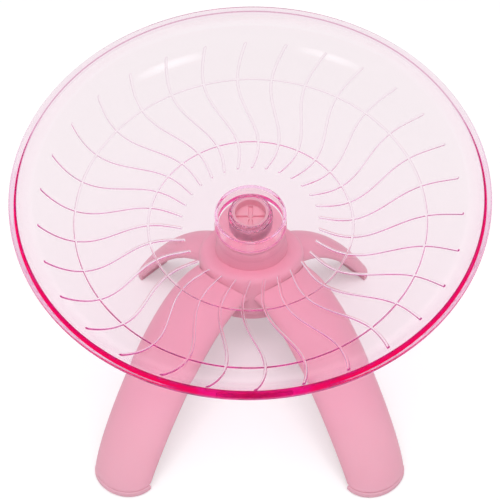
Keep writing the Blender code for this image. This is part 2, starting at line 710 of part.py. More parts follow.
def make_legs():
    upright = Matrix.Translation((0, HUB_Y, 0))
    tall = rod(HUB_RADIUS + FIT_GAP, HUB_TOP + CUT_OVERRUN, 0.0)
    hub_cutter = turned_cutter("leg_end_at_hub", tall, segments=HUB_SEGMENTS, frame=upright)
    wide = RIM_RADIUS + RIM_RADIUS
    ground = box_mesh("leg_end_at_pad", (-wide, -wide, -wide), (wide, wide, LEG_END_HEIGHT))
    ground_cutter = place_cutter("leg_end_at_pad", ground, Matrix())
    for side, (leg, azimuth, mirror) in LEGS.items():
        make_leg(side, leg, azimuth, mirror, hub_cutter, ground_cutter)
        make_foot_pad(side, leg, mirror)


clear_scene()
MODEL = new_collection("exercise_wheel")
CUTTERS = new_collection("cutters")
CLEAR_PINK = plastic("clear_pink_plastic", (0.96, 0.80, 0.87), 0.05, transmission=0.9)
PINK = plastic("pink_plastic", (0.86, 0.37, 0.49), 0.35)
SOFT_PINK = plastic("soft_pink_rubber", (0.88, 0.42, 0.53), 0.6)
STEEL = plastic("bearing_steel", (0.62, 0.63, 0.65), 0.25, metallic=1.0)
NYLON = plastic("cage_nylon", (0.80, 0.78, 0.72), 0.5)

# Each leg: its form, the direction of its root, and whether it is the mirrored one
LEGS = {
    "front_right": (FRONT_LEG, FRONT_LEG["azimuth"], False),
    "front_left": (FRONT_LEG, math.pi - FRONT_LEG["azimuth"], True),
    "rear_right": (REAR_LEG, REAR_LEG["azimuth"], False),
    "rear_left": (REAR_LEG, math.pi - REAR_LEG["azimuth"], True),
}

dish_axis = axis_empty("dish_spin_axis", AXLE_FRAME)
cage_axis = axis_empty("cage_spin_axis", AXLE_FRAME)
bpy.context.view_layer.update()

make_running_dish(dish_axis)
make_spindle(dish_axis)
make_spindle_fasteners(dish_axis)
make_bearing_rings(dish_axis)
make_cage_and_balls(cage_axis)
make_stand_hub()
make_bearing_cap()
make_hub_bottom_cover()
make_leg_screws()
make_legs()
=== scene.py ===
import json
import math

import bpy
import numpy as np
from bpy.props import FloatProperty, FloatVectorProperty, IntProperty, PointerProperty
from bpy.types import Operator, Panel, PropertyGroup
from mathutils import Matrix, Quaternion, Vector


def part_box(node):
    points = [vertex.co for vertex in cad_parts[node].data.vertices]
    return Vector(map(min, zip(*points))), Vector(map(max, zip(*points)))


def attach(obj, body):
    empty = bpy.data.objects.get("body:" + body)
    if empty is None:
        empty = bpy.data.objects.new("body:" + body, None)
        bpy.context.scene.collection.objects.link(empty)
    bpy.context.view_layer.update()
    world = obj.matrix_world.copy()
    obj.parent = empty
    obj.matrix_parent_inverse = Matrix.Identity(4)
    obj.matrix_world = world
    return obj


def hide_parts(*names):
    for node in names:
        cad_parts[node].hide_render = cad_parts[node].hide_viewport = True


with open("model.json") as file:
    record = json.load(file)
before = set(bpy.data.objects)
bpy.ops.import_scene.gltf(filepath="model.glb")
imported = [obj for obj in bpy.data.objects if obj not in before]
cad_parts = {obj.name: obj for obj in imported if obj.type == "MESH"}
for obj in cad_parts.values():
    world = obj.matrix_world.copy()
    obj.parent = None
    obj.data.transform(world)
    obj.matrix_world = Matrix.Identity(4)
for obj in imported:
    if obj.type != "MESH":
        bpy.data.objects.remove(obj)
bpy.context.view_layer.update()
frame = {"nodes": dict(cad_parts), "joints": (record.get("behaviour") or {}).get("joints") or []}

bl_info = {
    "name": "Exercise Wheel",
    "version": (1, 0, 0),
    "blender": (4, 5, 0),
    "location": "3D View > Sidebar > Wheel",
    "description": "Dresses a tilted running dish and its legged stand around their packed frame",
    "category": "Add Mesh",
}

TURN = 2 * math.pi

# The axle and the rim, from the frame
DISH_SPIN = next(joint for joint in frame["joints"] if joint["name"] == "dish_spin")
RIM_MIDDLE = np.array(DISH_SPIN["pos_m"])
AXLE = np.array(DISH_SPIN["axis"])
ACROSS = np.array([1.0, 0.0, 0.0])
AXLE_FRAME = np.array([ACROSS, np.cross(AXLE, ACROSS), AXLE])


def node_box(node):
    """Lower and upper corner of the box of a node."""
    low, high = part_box(node)
    return np.array(low), np.array(high)


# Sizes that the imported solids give
DISH_LOW, DISH_HIGH = node_box("running_dish")
COVER_LOW, COVER_HIGH = node_box("hub_bottom_cover")
HUB_LOW, HUB_HIGH = node_box("stand_hub")
PAD_TOP = node_box("foot_pad_front_right")[1][2]
HUB_MIDDLE = np.array([0.0, (COVER_LOW[1] + COVER_HIGH[1]) / 2, 0.0])


def length(name, description, default):
    """A length in metres, for the sidebar."""
    return FloatProperty(name=name, description=description, default=default, unit="LENGTH", precision=5)


def angle(name, description, default):
    """An angle that is written in degrees here and kept in radians."""
    return FloatProperty(
        name=name, description=description, default=math.radians(default), subtype="ANGLE"
    )


def colour(name, description, default):
    """A colour in scene-linear values."""
    return FloatVectorProperty(
        name=name, description=description, default=default, subtype="COLOR", min=0.0, max=1.0
    )


def position(name, description, default):
    """A place in metres."""
    return FloatVectorProperty(
        name=name, description=description, default=default, subtype="XYZ", unit="LENGTH", precision=5
    )


class WheelDishSizes(PropertyGroup):
    """Sizes of the running dish. Heights run along the axle from the plane of the rim."""

    rim_radius: length("Rim radius", "Outer radius of the rim", (DISH_HIGH[0] - DISH_LOW[0]) / 2)
    rim_width: length("Rim width", "Width of the flat flange round the bowl", 0.003)
    rim_face: length("Rim face", "Height of the upright face of the rim", 0.0014)
    rim_taper: length("Rim taper", "Depth at which the rim has tapered to the wall", 0.0031)
    rim_edge: length("Rim edge", "Rounding of the outer edge of the rim", 0.0007)
    rim_lip: length("Rim lip", "Rounding of the inner edge of the rim", 0.0003)
    bowl_depth: length("Bowl depth", "Depth of the floor below the rim", 0.0264)
    floor_radius: length("Floor radius", "Radius of the flat floor", 0.030)
    wall: length("Wall", "Wall thickness of the bowl", 0.0016)
    ring_inner: length("Inner ring", "Radius of the inner ring ridge", 0.0400)
    ring_outer: length("Outer ring", "Radius of the outer ring ridge", 0.0678)
    ring_width: length("Ring width", "Width of a ring ridge", 0.0009)
    ring_height: length("Ring height", "Height of a ring ridge", 0.0005)
    rib_count: IntProperty(name="Ribs", description="Number of grip ribs", default=30, min=3)
    rib_width: length("Rib width", "Width of a grip rib", 0.0011)
    rib_height: length("Rib height", "Height of a grip rib", 0.0005)
    rib_inner: length("Rib start", "Radius at which the ribs start", 0.0266)
    rib_middle: length("Rib middle", "Radius at which the S of a rib crosses its middle", 0.0508)
    rib_outer: length("Rib end", "Radius at which the ribs end", 0.0810)
    rib_wave: angle("Rib swing", "Swing of the S of a rib to each side", 4.65)
    rib_phase: FloatProperty(name="Rib phase", description="How fast the S of a rib runs", default=10.83)
    rib_first: angle("First rib", "Direction of the first rib", 6.4)
    boss_radius: length("Boss radius", "Radius of the raised hub boss", 0.0139)
    boss_height: length("Boss height", "Height of the boss over the floor", 0.0061)
    boss_edge: length("Boss edge", "Rounding of the edge of the boss", 0.0005)
    boss_wall: length("Boss wall", "Wall thickness of the boss", 0.0010)
    collar_radius: length("Collar radius", "Radius of the collar round the spindle cup", 0.0080)
    collar_wall: length("Collar wall", "Wall thickness of the collar", 0.00065)
    collar_height: length("Collar height", "Height of the collar over the boss", 0.0019)
    well_wall: length("Well wall", "Wall thickness of the well of the cup", 0.0012)
    well_floor: length("Well floor", "Thickness of the floor of the well", 0.0030)
    neck_radius: length("Neck radius", "Radius of the neck that seats on the bearing", 0.0056)
    neck_length: length("Neck length", "Reach of the neck below the floor", 0.0032)


class WheelHubSizes(PropertyGroup):
    """Sizes of the spindle, the bearing and the hub of the stand."""

    gap: length("Gap", "Clearance between pieces that fit together", 0.0003)
    cup_wall: length("Cup wall", "Wall thickness of the spindle cup", 0.0011)
    cup_depth: length("Cup depth", "Depth of the recess in the cup", 0.0038)
    cup_below_collar: length("Cup below collar", "How far the cup lies below the collar", 0.0007)
    slot_width: length("Slot width", "Width of the cross slots in the cup", 0.0016)
    slot_depth: length("Slot depth", "Depth of the cross slots in the cup", 0.0009)
    bearing_bore: length("Bearing bore", "Radius of the bore of the bearing", 0.0040)
    bearing_radius: length("Bearing radius", "Outer radius of the bearing", 0.0110)
    bearing_width: length("Bearing width", "Width of the bearing", 0.0070)
    inner_shoulder: length("Inner shoulder", "Outer radius of the inner ring", 0.00605)
    outer_shoulder: length("Outer shoulder", "Inner radius of the outer ring", 0.00895)
    ball_radius: length("Ball radius", "Radius of a ball", 0.00198)
    shield_thickness: length("Shield thickness", "Sheet thickness of the shields", 0.0003)
    shield_inset: length("Shield inset", "How far the shields lie below the faces of the bearing", 0.0001)
    head_wall: length("Head wall", "Wall round the bearing pocket", 0.0019)
    head_flare: length("Head flare", "How much the head widens towards its foot", 0.0024)
    running_gap: length("Running gap", "Gap between the dish and the head", 0.0008)
    cap_thickness: length("Cap thickness", "Thickness of the bearing cap", 0.0015)
    cap_bore: length("Cap bore", "Radius of the hole in the bearing cap", 0.0070)
    spigot_wall: length("Spigot wall", "Wall of the spigot of the cap", 0.0013)
    spigot_depth: length("Spigot depth", "Depth of the spigot of the cap", 0.0009)
    access_radius: length("Access bore", "Radius of the bore under the bearing", 0.0075)
    hub_height: length("Hub height", "Height of the leg hub", 0.0180)
    hub_edge: length("Hub edge", "Rounding of the top edge of the leg hub", 0.0025)
    cover_edge: length("Cover edge", "Rounding of the bottom cover", 0.0006)
    screw_radius: length("Screw radius", "Outer radius of a screw thread", 0.0015)
    screw_inset: length("Screw inset", "Distance of the leg screws inside the edge of the hub", 0.0042)
    screw_pitch: length("Screw pitch", "Rise of the thread in one turn", 0.0011)


class WheelLegSizes(PropertyGroup):
    """Sizes that all four legs share."""

    wall: length("Wall", "Wall thickness of the gutter of a leg", 0.0022)
    root_below_hub: length("Root depth", "How far the line of a leg starts below the top of the hub", 0.0040)
    root_reach: length("Root reach", "Distance of the root from the middle of the hub", 0.0140)
    tenon_width: length("Tenon width", "Width of the tenon that enters the hub", 0.0100)
    tenon_height: length("Tenon height", "Height of the tenon", 0.0060)
    tenon_depth: length("Tenon depth", "How far the tenon enters the hub", 0.0085)
    tenon_run: length("Tenon run", "How far the tenon runs into the leg", 0.0042)
    edge: length("Edge", "Rounding of the cut ends of a leg", 0.0004)
    pad_edge: length("Pad edge", "Rounding of the edges of a foot pad", 0.0006)
    pad_ledge: length("Pad ledge", "How far a foot pad stands out round the end of its leg", 0.0003)


class WheelFrontLeg(PropertyGroup):
    """Form of the front legs. Knee, shin and toe are the control points of the line along a leg."""

    azimuth: angle("Azimuth", "Direction in which the leg leaves the hub", -42)
    knee_reach: length("Knee reach", "Reach of the knee from the middle of the hub", 0.0350)
    knee_rise: length("Knee rise", "Rise of the knee over the root", 0.0020)
    shin: position("Shin", "Place of the shin from the hub axis", (0.0433, -0.0949, 0.0266))
    toe: position("Toe", "Place of the toe from the hub axis", (0.0519, -0.0999, -0.0050))
    root_width: length("Root width", "Width at the hub", 0.0307)
    toe_width: length("Toe width", "Width at the toe", 0.0222)
    root_crown: length("Root crown", "Depth of the arch at the hub", 0.0066)
    toe_crown: length("Toe crown", "Depth of the arch at the toe", 0.0075)
    tenon_drop: length("Tenon drop", "How far the tenon lies below the line of the leg", 0.0012)


class WheelRearLeg(PropertyGroup):
    """Form of the rear legs."""

    azimuth: angle("Azimuth", "Direction in which the leg leaves the hub", 40)
    knee_reach: length("Knee reach", "Reach of the knee from the middle of the hub", 0.0355)
    knee_rise: length("Knee rise", "Rise of the knee over the root", 0.0010)
    shin: position("Shin", "Place of the shin from the hub axis", (0.0420, 0.0306, 0.0160))
    toe: position("Toe", "Place of the toe from the hub axis", (0.0510, 0.0386, -0.0050))
    root_width: length("Root width", "Width at the hub", 0.0210)
    toe_width: length("Toe width", "Width at the toe", 0.0160)
    root_crown: length("Root crown", "Depth of the arch at the hub", 0.0065)
    toe_crown: length("Toe crown", "Depth of the arch at the toe", 0.0050)
    tenon_drop: length("Tenon drop", "How far the tenon lies below the line of the leg", 0.0023)


class WheelColours(PropertyGroup):
    """Colours of the finishes."""

    dish_absorb: colour("Dish tint", "What a clear wall lets through", (0.996, 0.000, 0.760))
    dish_density: FloatProperty(name="Dish density", description="Absorption per metre of wall", default=48.0)
    dish_face: colour("Dish face", "Tint of light through a wall's two faces", (0.998, 0.985, 0.962))
    # Painted shade: the next colour darkens the glass on the steep sides of ribs and rings, in place of the
    # dark lines that bent light draws there.
    ridge_shade_paint: colour("Dish ridges", "The same tint on the sides of ribs and rings", (0.78, 0.69, 0.73))
    # Painted shade: the next colour paints a deep pink line on the rim's inner top edge.
    rim_shade_paint: colour("Dish rim", "The same tint on the inner top edge of the rim", (0.62, 0.30, 0.42))
    dish_shadow: colour("Dish shadow", "Tint of the light that falls through the dish", (0.985, 0.978, 0.98))
    plastic: colour("Pink plastic", "Satin plastic of the stand", (0.945, 0.458, 0.572))
    plastic_deep: colour("Deep pink", "Darker drift in the plastic", (0.905, 0.420, 0.535))
    rubber: colour("Rubber", "Soft foot pads", (0.975, 0.500, 0.615))
    steel: colour("Steel", "Bearing steel", (0.56, 0.57, 0.58))
    zinc: colour("Zinc", "Plated screws", (0.50, 0.51, 0.52))
    nylon: colour("Nylon", "Cage of the bearing", (0.66, 0.62, 0.54))


# Surfaces

SHARP_ANGLE = math.radians(40)
BESIDE = 2.0
FLAT_TOP_SHARE = 0.25
STEEP_FROM = 0.5
STEEP_RISE = 0.32
STEEP_TO = 1.05


def on_axle(points):
    """Puts points that are measured across, back and up the axle from the rim's middle into the model."""
    return RIM_MIDDLE + points @ AXLE_FRAME


def on_hub(points):
    """Puts points that are measured from the foot of the leg hub's upright axis into the model."""
    return points + HUB_MIDDLE


def beside_hub(azimuth, reach):
    """Gives a placing function for an upright axis at a reach and a direction from the leg hub's axis."""
    c, s = math.cos(azimuth), math.sin(azimuth)
    turn = np.array([[c, s, 0.0], [-s, c, 0.0], [0.0, 0.0, 1.0]])
    return lambda points: on_hub((points + np.array([reach, 0.0, 0.0])) @ turn)


def grid_quads(rows, columns, close_rows=False, close_columns=True):
    """Quads between neighbouring points of a grid. A closed direction joins its last line to its first."""
    corner = np.arange(rows * columns).reshape(rows, columns)
    if close_rows:
        corner = np.vstack([corner, corner[:1]])
    if close_columns:
        corner = np.hstack([corner, corner[:, :1]])
    quads = [corner[:-1, :-1], corner[:-1, 1:], corner[1:, 1:], corner[1:, :-1]]
    return np.stack(quads, axis=-1).reshape(-1, 4)


def fan(ring, middle):
    """Triangles from each step of a ring of points to its middle point."""
    return np.stack([ring, np.roll(ring, -1), np.full(len(ring), middle)], axis=1)


def closed_mesh(name, points, quads, triangles=None):
    """A mesh of quads and triangles, turned outwards: its enclosed volume, the sum of a . (b x c) / 6 over
    its triangles, is made positive."""
    points = points.reshape(-1, 3)
    triangles = np.empty((0, 3), int) if triangles is None else triangles
    split = np.concatenate([quads[:, :3], quads[:, [0, 2, 3]], triangles])
    a, b, c = points[split[:, 0]], points[split[:, 1]], points[split[:, 2]]
    if np.einsum("ij,ij->", a - points[0], np.cross(b - points[0], c - points[0])) < 0:
        quads, triangles = quads[:, ::-1], triangles[:, ::-1]
    mesh = bpy.data.meshes.new(name)
    mesh.from_pydata(points.tolist(), [], quads.tolist() + triangles.tolist())
    mesh.validate()
    mesh.shade_smooth()
    mesh.set_sharp_from_angle(angle=SHARP_ANGLE)
    return mesh


def capped_mesh(name, points, extra=None):
    """A tube of closed rings, shut by a fan at each end whose middle is the mean of the ring."""
    rows, columns = points.shape[:2]
    middles = np.stack([points[0].mean(axis=0), points[-1].mean(axis=0)])
    everything = np.concatenate([points.reshape(-1, 3), middles])
    first, last = np.arange(columns), np.arange(columns) + (rows - 1) * columns
    triangles = np.concatenate([fan(first[::-1], rows * columns), fan(last, rows * columns + 1)])
    return closed_mesh(name, everything, grid_quads(rows, columns), triangles)


def eased(corners, cuts, steps=3):
    """An outline whose inner corners are rounded.

    A corner C between A and B becomes the parabola (1-t)(1-t) S + 2 t (1-t) C + t t E, where S and E lie a
    cut away from C towards A and B. One more point half a cut before S and after E keeps the flats beside it
    flat. The first and last corners only give directions.
    """
    corners = np.asarray(corners, float)
    middle = corners[1:-1]
    back, on = corners[:-2] - middle, corners[2:] - middle
    back /= np.linalg.norm(back, axis=1)[:, None]
    on /= np.linalg.norm(on, axis=1)[:, None]
    cut = np.broadcast_to(np.asarray(cuts, float), len(middle))[:, None]
    start, end = (middle + cut * back)[:, None], (middle + cut * on)[:, None]
    t = np.linspace(0, 1, steps + 1)[None, :, None]
    arc = (1 - t) ** 2 * start + 2 * t * (1 - t) * middle[:, None] + t**2 * end
    before, after = (middle + 1.5 * cut * back)[:, None], (middle + 1.5 * cut * on)[:, None]
    return np.concatenate([before, arc, after], axis=1).reshape(-1, 2)


def polar(r, around, h):
    """The points (r cos a, r sin a, h) at angles a."""
    return np.stack(np.broadcast_arrays(r * np.cos(around), r * np.sin(around), h), axis=-1)


def spun(profile, around):
    """Rows (r, h) of a profile, spun to the given angles."""
    return polar(profile[:, :1], around, profile[:, 1:])


def turned_mesh(name, corners, cuts, place, solid=True, segments=96):
    """A turned piece: its eased outline spun about an axis.

    A solid piece's outline starts and ends on the axis. A ring's outline is a closed loop.
    """
    corners = np.asarray(corners, float)
    around = np.linspace(0, TURN, segments, endpoint=False)[None, :]
    if solid:
        return capped_mesh(name, place(spun(eased(corners, cuts), around)))
    looped = np.vstack([corners[-1:], corners, corners[:1]])
    points = place(spun(eased(looped, cuts), around))
    return closed_mesh(name, points, grid_quads(*points.shape[:2], close_rows=True))


def crest(distance):
    """Height across a moulded ridge, 1 on its flat top and 0 at its foot: sqrt(1 - s s), where s runs from
    0 to 1 over the outer three quarters of its half width."""
    s = np.clip((distance - FLAT_TOP_SHARE) / (1 - FLAT_TOP_SHARE), 0, 1)
    return np.sqrt(1 - s**2)


def ridge_edge(distance):
    """Mask of painted shade: one on the steep side and the foot of a ridge, where a darker tint stands in for
    the dark line that bent light draws there, and nothing on its top or beside it.
    """
    return np.clip((distance - STEEP_FROM) / STEEP_RISE, 0, 1) * (distance < STEEP_TO)


def sector_columns(shares, fillers):
    """Columns of one sector of a repeated pattern, as a x half + b x sector: the given shares of the
    feature's half width, then fillers spread evenly over the rest of the sector. The third value of a column
    is its share again, or beside the feature for a filler."""
    f = np.arange(1, fillers + 1) / (fillers + 1)
    a = np.concatenate([shares, 1 - 2 * f])
    b = np.concatenate([np.zeros(len(shares)), f])
    across = np.concatenate([shares, np.full(fillers, BESIDE)])
    return a, b, across


def sector_angles(centre, half, count, a, b, even=0.0):
    """Angles of all columns in each row: centre + a half + b sector, repeated count times round the axis.
    Where even is 1, the columns are spread evenly instead."""
    sector = TURN / count
    even = np.broadcast_to(even, centre.shape)[:, None]
    level = (np.arange(len(a)) - np.argmin(np.abs(a) + b)) * sector / len(a)
    one = centre[:, None] + (1 - even) * (half[:, None] * a + sector * b) + even * level
    copies = sector * np.arange(count)
    return (one[:, None, :] + copies[None, :, None]).reshape(len(centre), -1)


def modify(obj, name, kind, **settings):
    """Puts a modifier on an object."""
    modifier = obj.modifiers.new(name, kind)
    for key, value in settings.items():
        setattr(modifier, key, value)


def applied(mesh, kind, **settings):
    """The mesh with a modifier worked into it."""
    obj = bpy.data.objects.new(mesh.name, mesh)
    bpy.context.scene.collection.objects.link(obj)
    modify(obj, kind.lower(), kind, **settings)
    bpy.context.view_layer.update()
    result = bpy.data.meshes.new_from_object(obj.evaluated_get(bpy.context.evaluated_depsgraph_get()))
    result.name = mesh.name
    bpy.data.objects.remove(obj)
    return result


def softened(mesh, edge):
    """The mesh with its sharp edges rounded."""
    return applied(mesh, "BEVEL", width=edge, segments=3, limit_method="ANGLE", angle_limit=SHARP_ANGLE)


def combined(mesh, tool, operation="DIFFERENCE"):
    """The mesh cut by, or joined with, another closed mesh."""
    other = bpy.data.objects.new(tool.name, tool)
    bpy.context.scene.collection.objects.link(other)
    result = applied(mesh, "BOOLEAN", operation=operation, solver="EXACT", object=other)
    bpy.data.objects.remove(other)
    result.set_sharp_from_angle(angle=SHARP_ANGLE)
    return result


def piece(name, mesh, material, body, slot, *nodes):
    """A finished piece: it rides on a body and stands for its nodes of the frame."""
    obj = bpy.data.objects.new(name, mesh)
    bpy.context.scene.collection.objects.link(obj)
    mesh.materials.clear()
    mesh.materials.append(material)
    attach(obj, body)
    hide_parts(*nodes)


# Materials


def new_material(name):
    """An empty material and its tree."""
    material = bpy.data.materials.get(name) or bpy.data.materials.new(name)
    material.use_nodes = True
    material.node_tree.nodes.clear()
    return material, material.node_tree


def add(tree, kind, values=None, **settings):
    """Adds a shader node, with settings by name and values by socket. A value is a constant, or a pair of
    another node and its output."""
    node = tree.nodes.new("ShaderNode" + kind)
    for key, value in settings.items():
        setattr(node, key, value)
    for socket, value in (values or {}).items():
        if isinstance(value, tuple) and isinstance(value[0], bpy.types.Node):
            tree.links.new(value[0].outputs[value[1]], node.inputs[socket])
        else:
            node.inputs[socket].default_value = value
    return node


def opaque(tint, share=1.0):
    """A colour dimmed to a share of itself, with its alpha."""
    return (*(share * part for part in tint), 1.0)


def worked_out(tree, operation, *values, **settings):
    """The result of a Math node."""
    return add(tree, "Math", dict(enumerate(values)), operation=operation, **settings), "Value"


def noise(tree, scale, detail, roughness=0.5):
    """A noise on Object coordinates. Its scale is in waves per metre."""
    spot = add(tree, "TexCoord"), "Object"
    values = {"Scale": scale, "Detail": detail, "Roughness": roughness, "Vector": spot}
    return add(tree, "TexNoise", values), "Fac"


def ranged(tree, texture, low, high, source_low=0.3, source_high=0.7):
    """A noise mapped to a range of values."""
    source = {"Value": texture, "From Min": source_low, "From Max": source_high}
    return add(tree, "MapRange", {**source, "To Min": low, "To Max": high}), "Result"


def blended(tree, factor, first, second):
    """Two colours mixed by a factor."""
    return add(tree, "Mix", {"A": first, "B": second, "Factor": factor}, data_type="RGBA"), "Result"


def grained(name, base, deep, shader_values, *, drift_scale, grain_scale, grain, gloss, relief):
    """A finish whose colour drifts slowly between two tones, with a fine grain in its gloss and surface. The
    grain is a noise's detail and roughness, the gloss a range, and the relief a strength and a depth."""
    material, tree = new_material(name)
    drift = noise(tree, drift_scale, 2.0)
    fine = noise(tree, grain_scale, *grain)
    skin = add(tree, "Bump", {"Strength": relief[0], "Distance": relief[1], "Height": fine})
    shader = add(tree, "BsdfPrincipled", {
        **shader_values,
        "Base Color": blended(tree, ranged(tree, drift, 0.0, 1.0), base, deep),
        "Roughness": ranged(tree, fine, *gloss),
        "Normal": (skin, "Normal"),
    })
    add(tree, "OutputMaterial", {"Surface": (shader, "BSDF")})
    return material


def satin_plastic(name, base, deep, roughness):
    """Moulded plastic or rubber: light goes a little way into it."""
    shader_values = {
        "IOR": 1.48,
        "Subsurface Weight": 0.12,
        "Subsurface Radius": (0.004, 0.002, 0.0025),
        "Subsurface Scale": 1.0,
    }
    gloss = (roughness - 0.05, roughness + 0.06)
    return grained(
        name, base, deep, shader_values,
        drift_scale=28.0, grain_scale=1400.0, grain=(4.0, 0.6), gloss=gloss, relief=(0.25, 0.00004),
    )


def pink_plastic():
    """The satin plastic of the stand and the spindle."""
    colours = bpy.context.scene.wheel_colours
    base, deep = opaque(colours.plastic), opaque(colours.plastic_deep)
    return satin_plastic("pink_plastic", base, deep, roughness=0.40)


def soft_rubber():
    """The rubber of the foot pads."""
    base = bpy.context.scene.wheel_colours.rubber
    return satin_plastic("soft_rubber", opaque(base), opaque(base, share=0.9), roughness=0.62)


def nylon():
    """The plain nylon of the bearing's cage."""
    base = bpy.context.scene.wheel_colours.nylon
    return satin_plastic("natural_nylon", opaque(base), opaque(base, share=0.88), roughness=0.5)


def steel(name, base, gloss, grain_scale):
    """Ground or plated steel."""
    return grained(
        name, opaque(base), opaque(base, share=0.85), {"Metallic": 1.0},
        drift_scale=120.0, grain_scale=grain_scale, grain=(5.0, 0.7), gloss=gloss, relief=(0.2, 0.00002),
    )


def bearing_steel():
    """The ground steel of the bearing."""
    base = bpy.context.scene.wheel_colours.steel
    return steel("bearing_steel", base, gloss=(0.12, 0.25), grain_scale=2600.0)


def screw_steel():
    """The plated steel of the screws and the washer."""
    base = bpy.context.scene.wheel_colours.zinc
    return steel("plated_steel", base, gloss=(0.25, 0.42), grain_scale=1800.0)


def clear_plastic():
    """Clear plastic: smooth glass whose body absorbs green and some blue, so long paths in it turn hot pink.

    Its faces tint the light a little. Painted shade: a darker tint is painted on the marked sides of ridges,
    and a deep pink one on the marked lip of the rim, in place of the dark lines that bent light draws there.
    The faces marked as matt are rough. Light for shadows falls through it with a pale tint.
    """
    colours = bpy.context.scene.wheel_colours
    material, tree = new_material("clear_pink_plastic")
    # Painted shade: the mark darkens the faces' tint on ridge sides, and where it is above one it paints the
    # rim's inner lip deep pink.
    painted_shade = add(tree, "Attribute", attribute_name="ridge_edge"), "Fac"
    matt = add(tree, "Attribute", attribute_name="matt_inside"), "Fac"
    lip = worked_out(tree, "SUBTRACT", painted_shade, 1.0, use_clamp=True)
    face = blended(tree, painted_shade, opaque(colours.dish_face), opaque(colours.ridge_shade_paint))
    cloud = noise(tree, scale=260.0, detail=5.0, roughness=0.65)
    haze = ranged(tree, cloud, low=0.0, high=0.035, source_low=0.45, source_high=0.8)
    glass = add(tree, "BsdfPrincipled", {
        "IOR": 1.49,
        "Transmission Weight": 1.0,
        "Base Color": blended(tree, lip, face, opaque(colours.rim_shade_paint)),
        "Roughness": worked_out(tree, "MAXIMUM", haze, matt),
    }), "BSDF"
    shade = add(tree, "BsdfTransparent", {"Color": opaque(colours.dish_shadow)}), "BSDF"
    shadow_ray = add(tree, "LightPath"), "Is Shadow Ray"
    surface = add(tree, "MixShader", {0: shadow_ray, 1: glass, 2: shade}), "Shader"
    tint = {"Density": colours.dish_density, "Color": opaque(colours.dish_absorb)}
    body = add(tree, "VolumeAbsorption", tint), "Volume"
    add(tree, "OutputMaterial", {"Surface": surface, "Volume": body})
    return material


# Running dish

BOWL_TABLE_STEPS = 3000
FLOOR_TABLE_STEPS = 400
FACE_MARGIN = 0.0008
FACE_STEP = 0.0015
FACE_TURN = math.radians(2.0)
UNDERSIDE_STEP = 0.0030
UNDERSIDE_TURN = math.radians(2.5)
COLLAR_CUTS = (0.00010, 0.00014, 0.00020)
BOSS_FOOT_CUT = 0.00035
RIM_FOOT_CUTS = (0.00015, 0.0002)
UNDERSIDE_CUTS = (0.0003, 0.0003, 0.0002, 0.0002, 0.0003, 0.0002, 0.0002, 0.0002, 0.0002)
RIDGE_SHARES = np.array([-1.2, -1.0, -0.82, -0.5, 0.0, 0.5, 0.82, 1.0, 1.2])
ON_FLAT = 0.00001
RIB_FILLERS = 3
EVEN_REACH = 0.0030
LIP_REACH = 1.1
WELL_MARGIN = 0.0001
WELL_ROUGHNESS = 0.8


def bowl_table(s):
    """The inner face of the bowl as fine steps: radius, height and the distance run along it from the boss.

    The floor is flat. From its edge the face is a quarter of an ellipse: r = floor + reach sin t and
    h = -depth cos t.
    """
    reach = s.rim_radius - s.rim_width - s.floor_radius
    t = np.linspace(0, math.pi / 2, BOWL_TABLE_STEPS)[1:]
    floor = np.linspace(s.boss_radius, s.floor_radius, FLOOR_TABLE_STEPS)
    radius = np.concatenate([floor, s.floor_radius + reach * np.sin(t)])
    height = np.concatenate([np.full(len(floor), -s.bowl_depth), -s.bowl_depth * np.cos(t)])
    run = np.concatenate([[0.0], np.cumsum(np.hypot(np.diff(radius), np.diff(height)))])
    return radius, height, run


def spread_rows(radius, height, step, turn):
    """Distances along a curve that lie at most a step apart, and nearer where the curve turns: its turning
    from one to the next is at most the given angle."""
    run = np.concatenate([[0.0], np.cumsum(np.hypot(np.diff(radius), np.diff(height)))])
    heading = np.arctan2(np.gradient(height, run), np.gradient(radius, run))
    density = np.maximum(1 / step, np.abs(np.gradient(heading, run)) / turn)
    count = np.concatenate([[0.0], np.cumsum((density[1:] + density[:-1]) / 2 * np.diff(run))])
    return np.interp(np.linspace(0, count[-1], int(count[-1]) + 2), count, run), run


def rib_direction(s, radius):
    """Angle of the first rib at each radius, and the angle that its half width takes there.

    The angle swings as first + wave sin(phase (sqrt(r / middle) - 1)). The half width grows by 1 / cos of
    the slant of the rib, because it is measured along the circle.
    """
    r = np.clip(radius, s.rib_inner, s.rib_outer)
    phase = s.rib_phase * (np.sqrt(r / s.rib_middle) - 1)
    centre = s.rib_first + s.rib_wave * np.sin(phase)
    slant = s.rib_wave * np.cos(phase) * s.rib_phase / (2 * np.sqrt(r * s.rib_middle)) * r
    return centre, s.rib_width / 2 / r * np.sqrt(1 + slant**2)


def dish_face_rows(s):
    """Rows of the inner face: distances along it, close together over the ring ridges and the rib ends."""
    radius, height, run = bowl_table(s)
    half_rib, half_ring = s.rib_width / 2, s.ring_width / 2
    starts = np.interp([s.rib_inner, s.rib_outer], radius, run) + np.array([half_rib, -half_rib])
    rings = np.interp([s.ring_inner, s.ring_outer], radius, run)
    outer = RIDGE_SHARES[RIDGE_SHARES >= 0]
    fine = np.concatenate([(rings[:, None] + half_ring * RIDGE_SHARES).ravel(),
                           starts[0] - half_rib * outer, starts[1] + half_rib * outer])
    base, _ = spread_rows(radius, height, FACE_STEP, FACE_TURN)
    base = base[(base > 2 * FACE_MARGIN) & (base < run[-1] - FACE_MARGIN)]
    base = base[np.abs(base[:, None] - fine[None, :]).min(axis=1) > FACE_STEP / 4]
    rows = np.sort(np.concatenate([base, fine]))
    slope_r, slope_h = np.gradient(radius, run), np.gradient(height, run)
    beyond = np.maximum(0, np.maximum(starts[0] - rows, rows - starts[1])) / half_rib
    ring = np.abs(rows[:, None] - rings[None, :]).min(axis=1) / half_ring
    return {
        "radius": np.interp(rows, run, radius),
        "height": np.interp(rows, run, height),
        "normal_r": -np.interp(rows, run, slope_h),
        "normal_h": np.interp(rows, run, slope_r),
        "beyond": beyond,
        "ring": ring,
    }


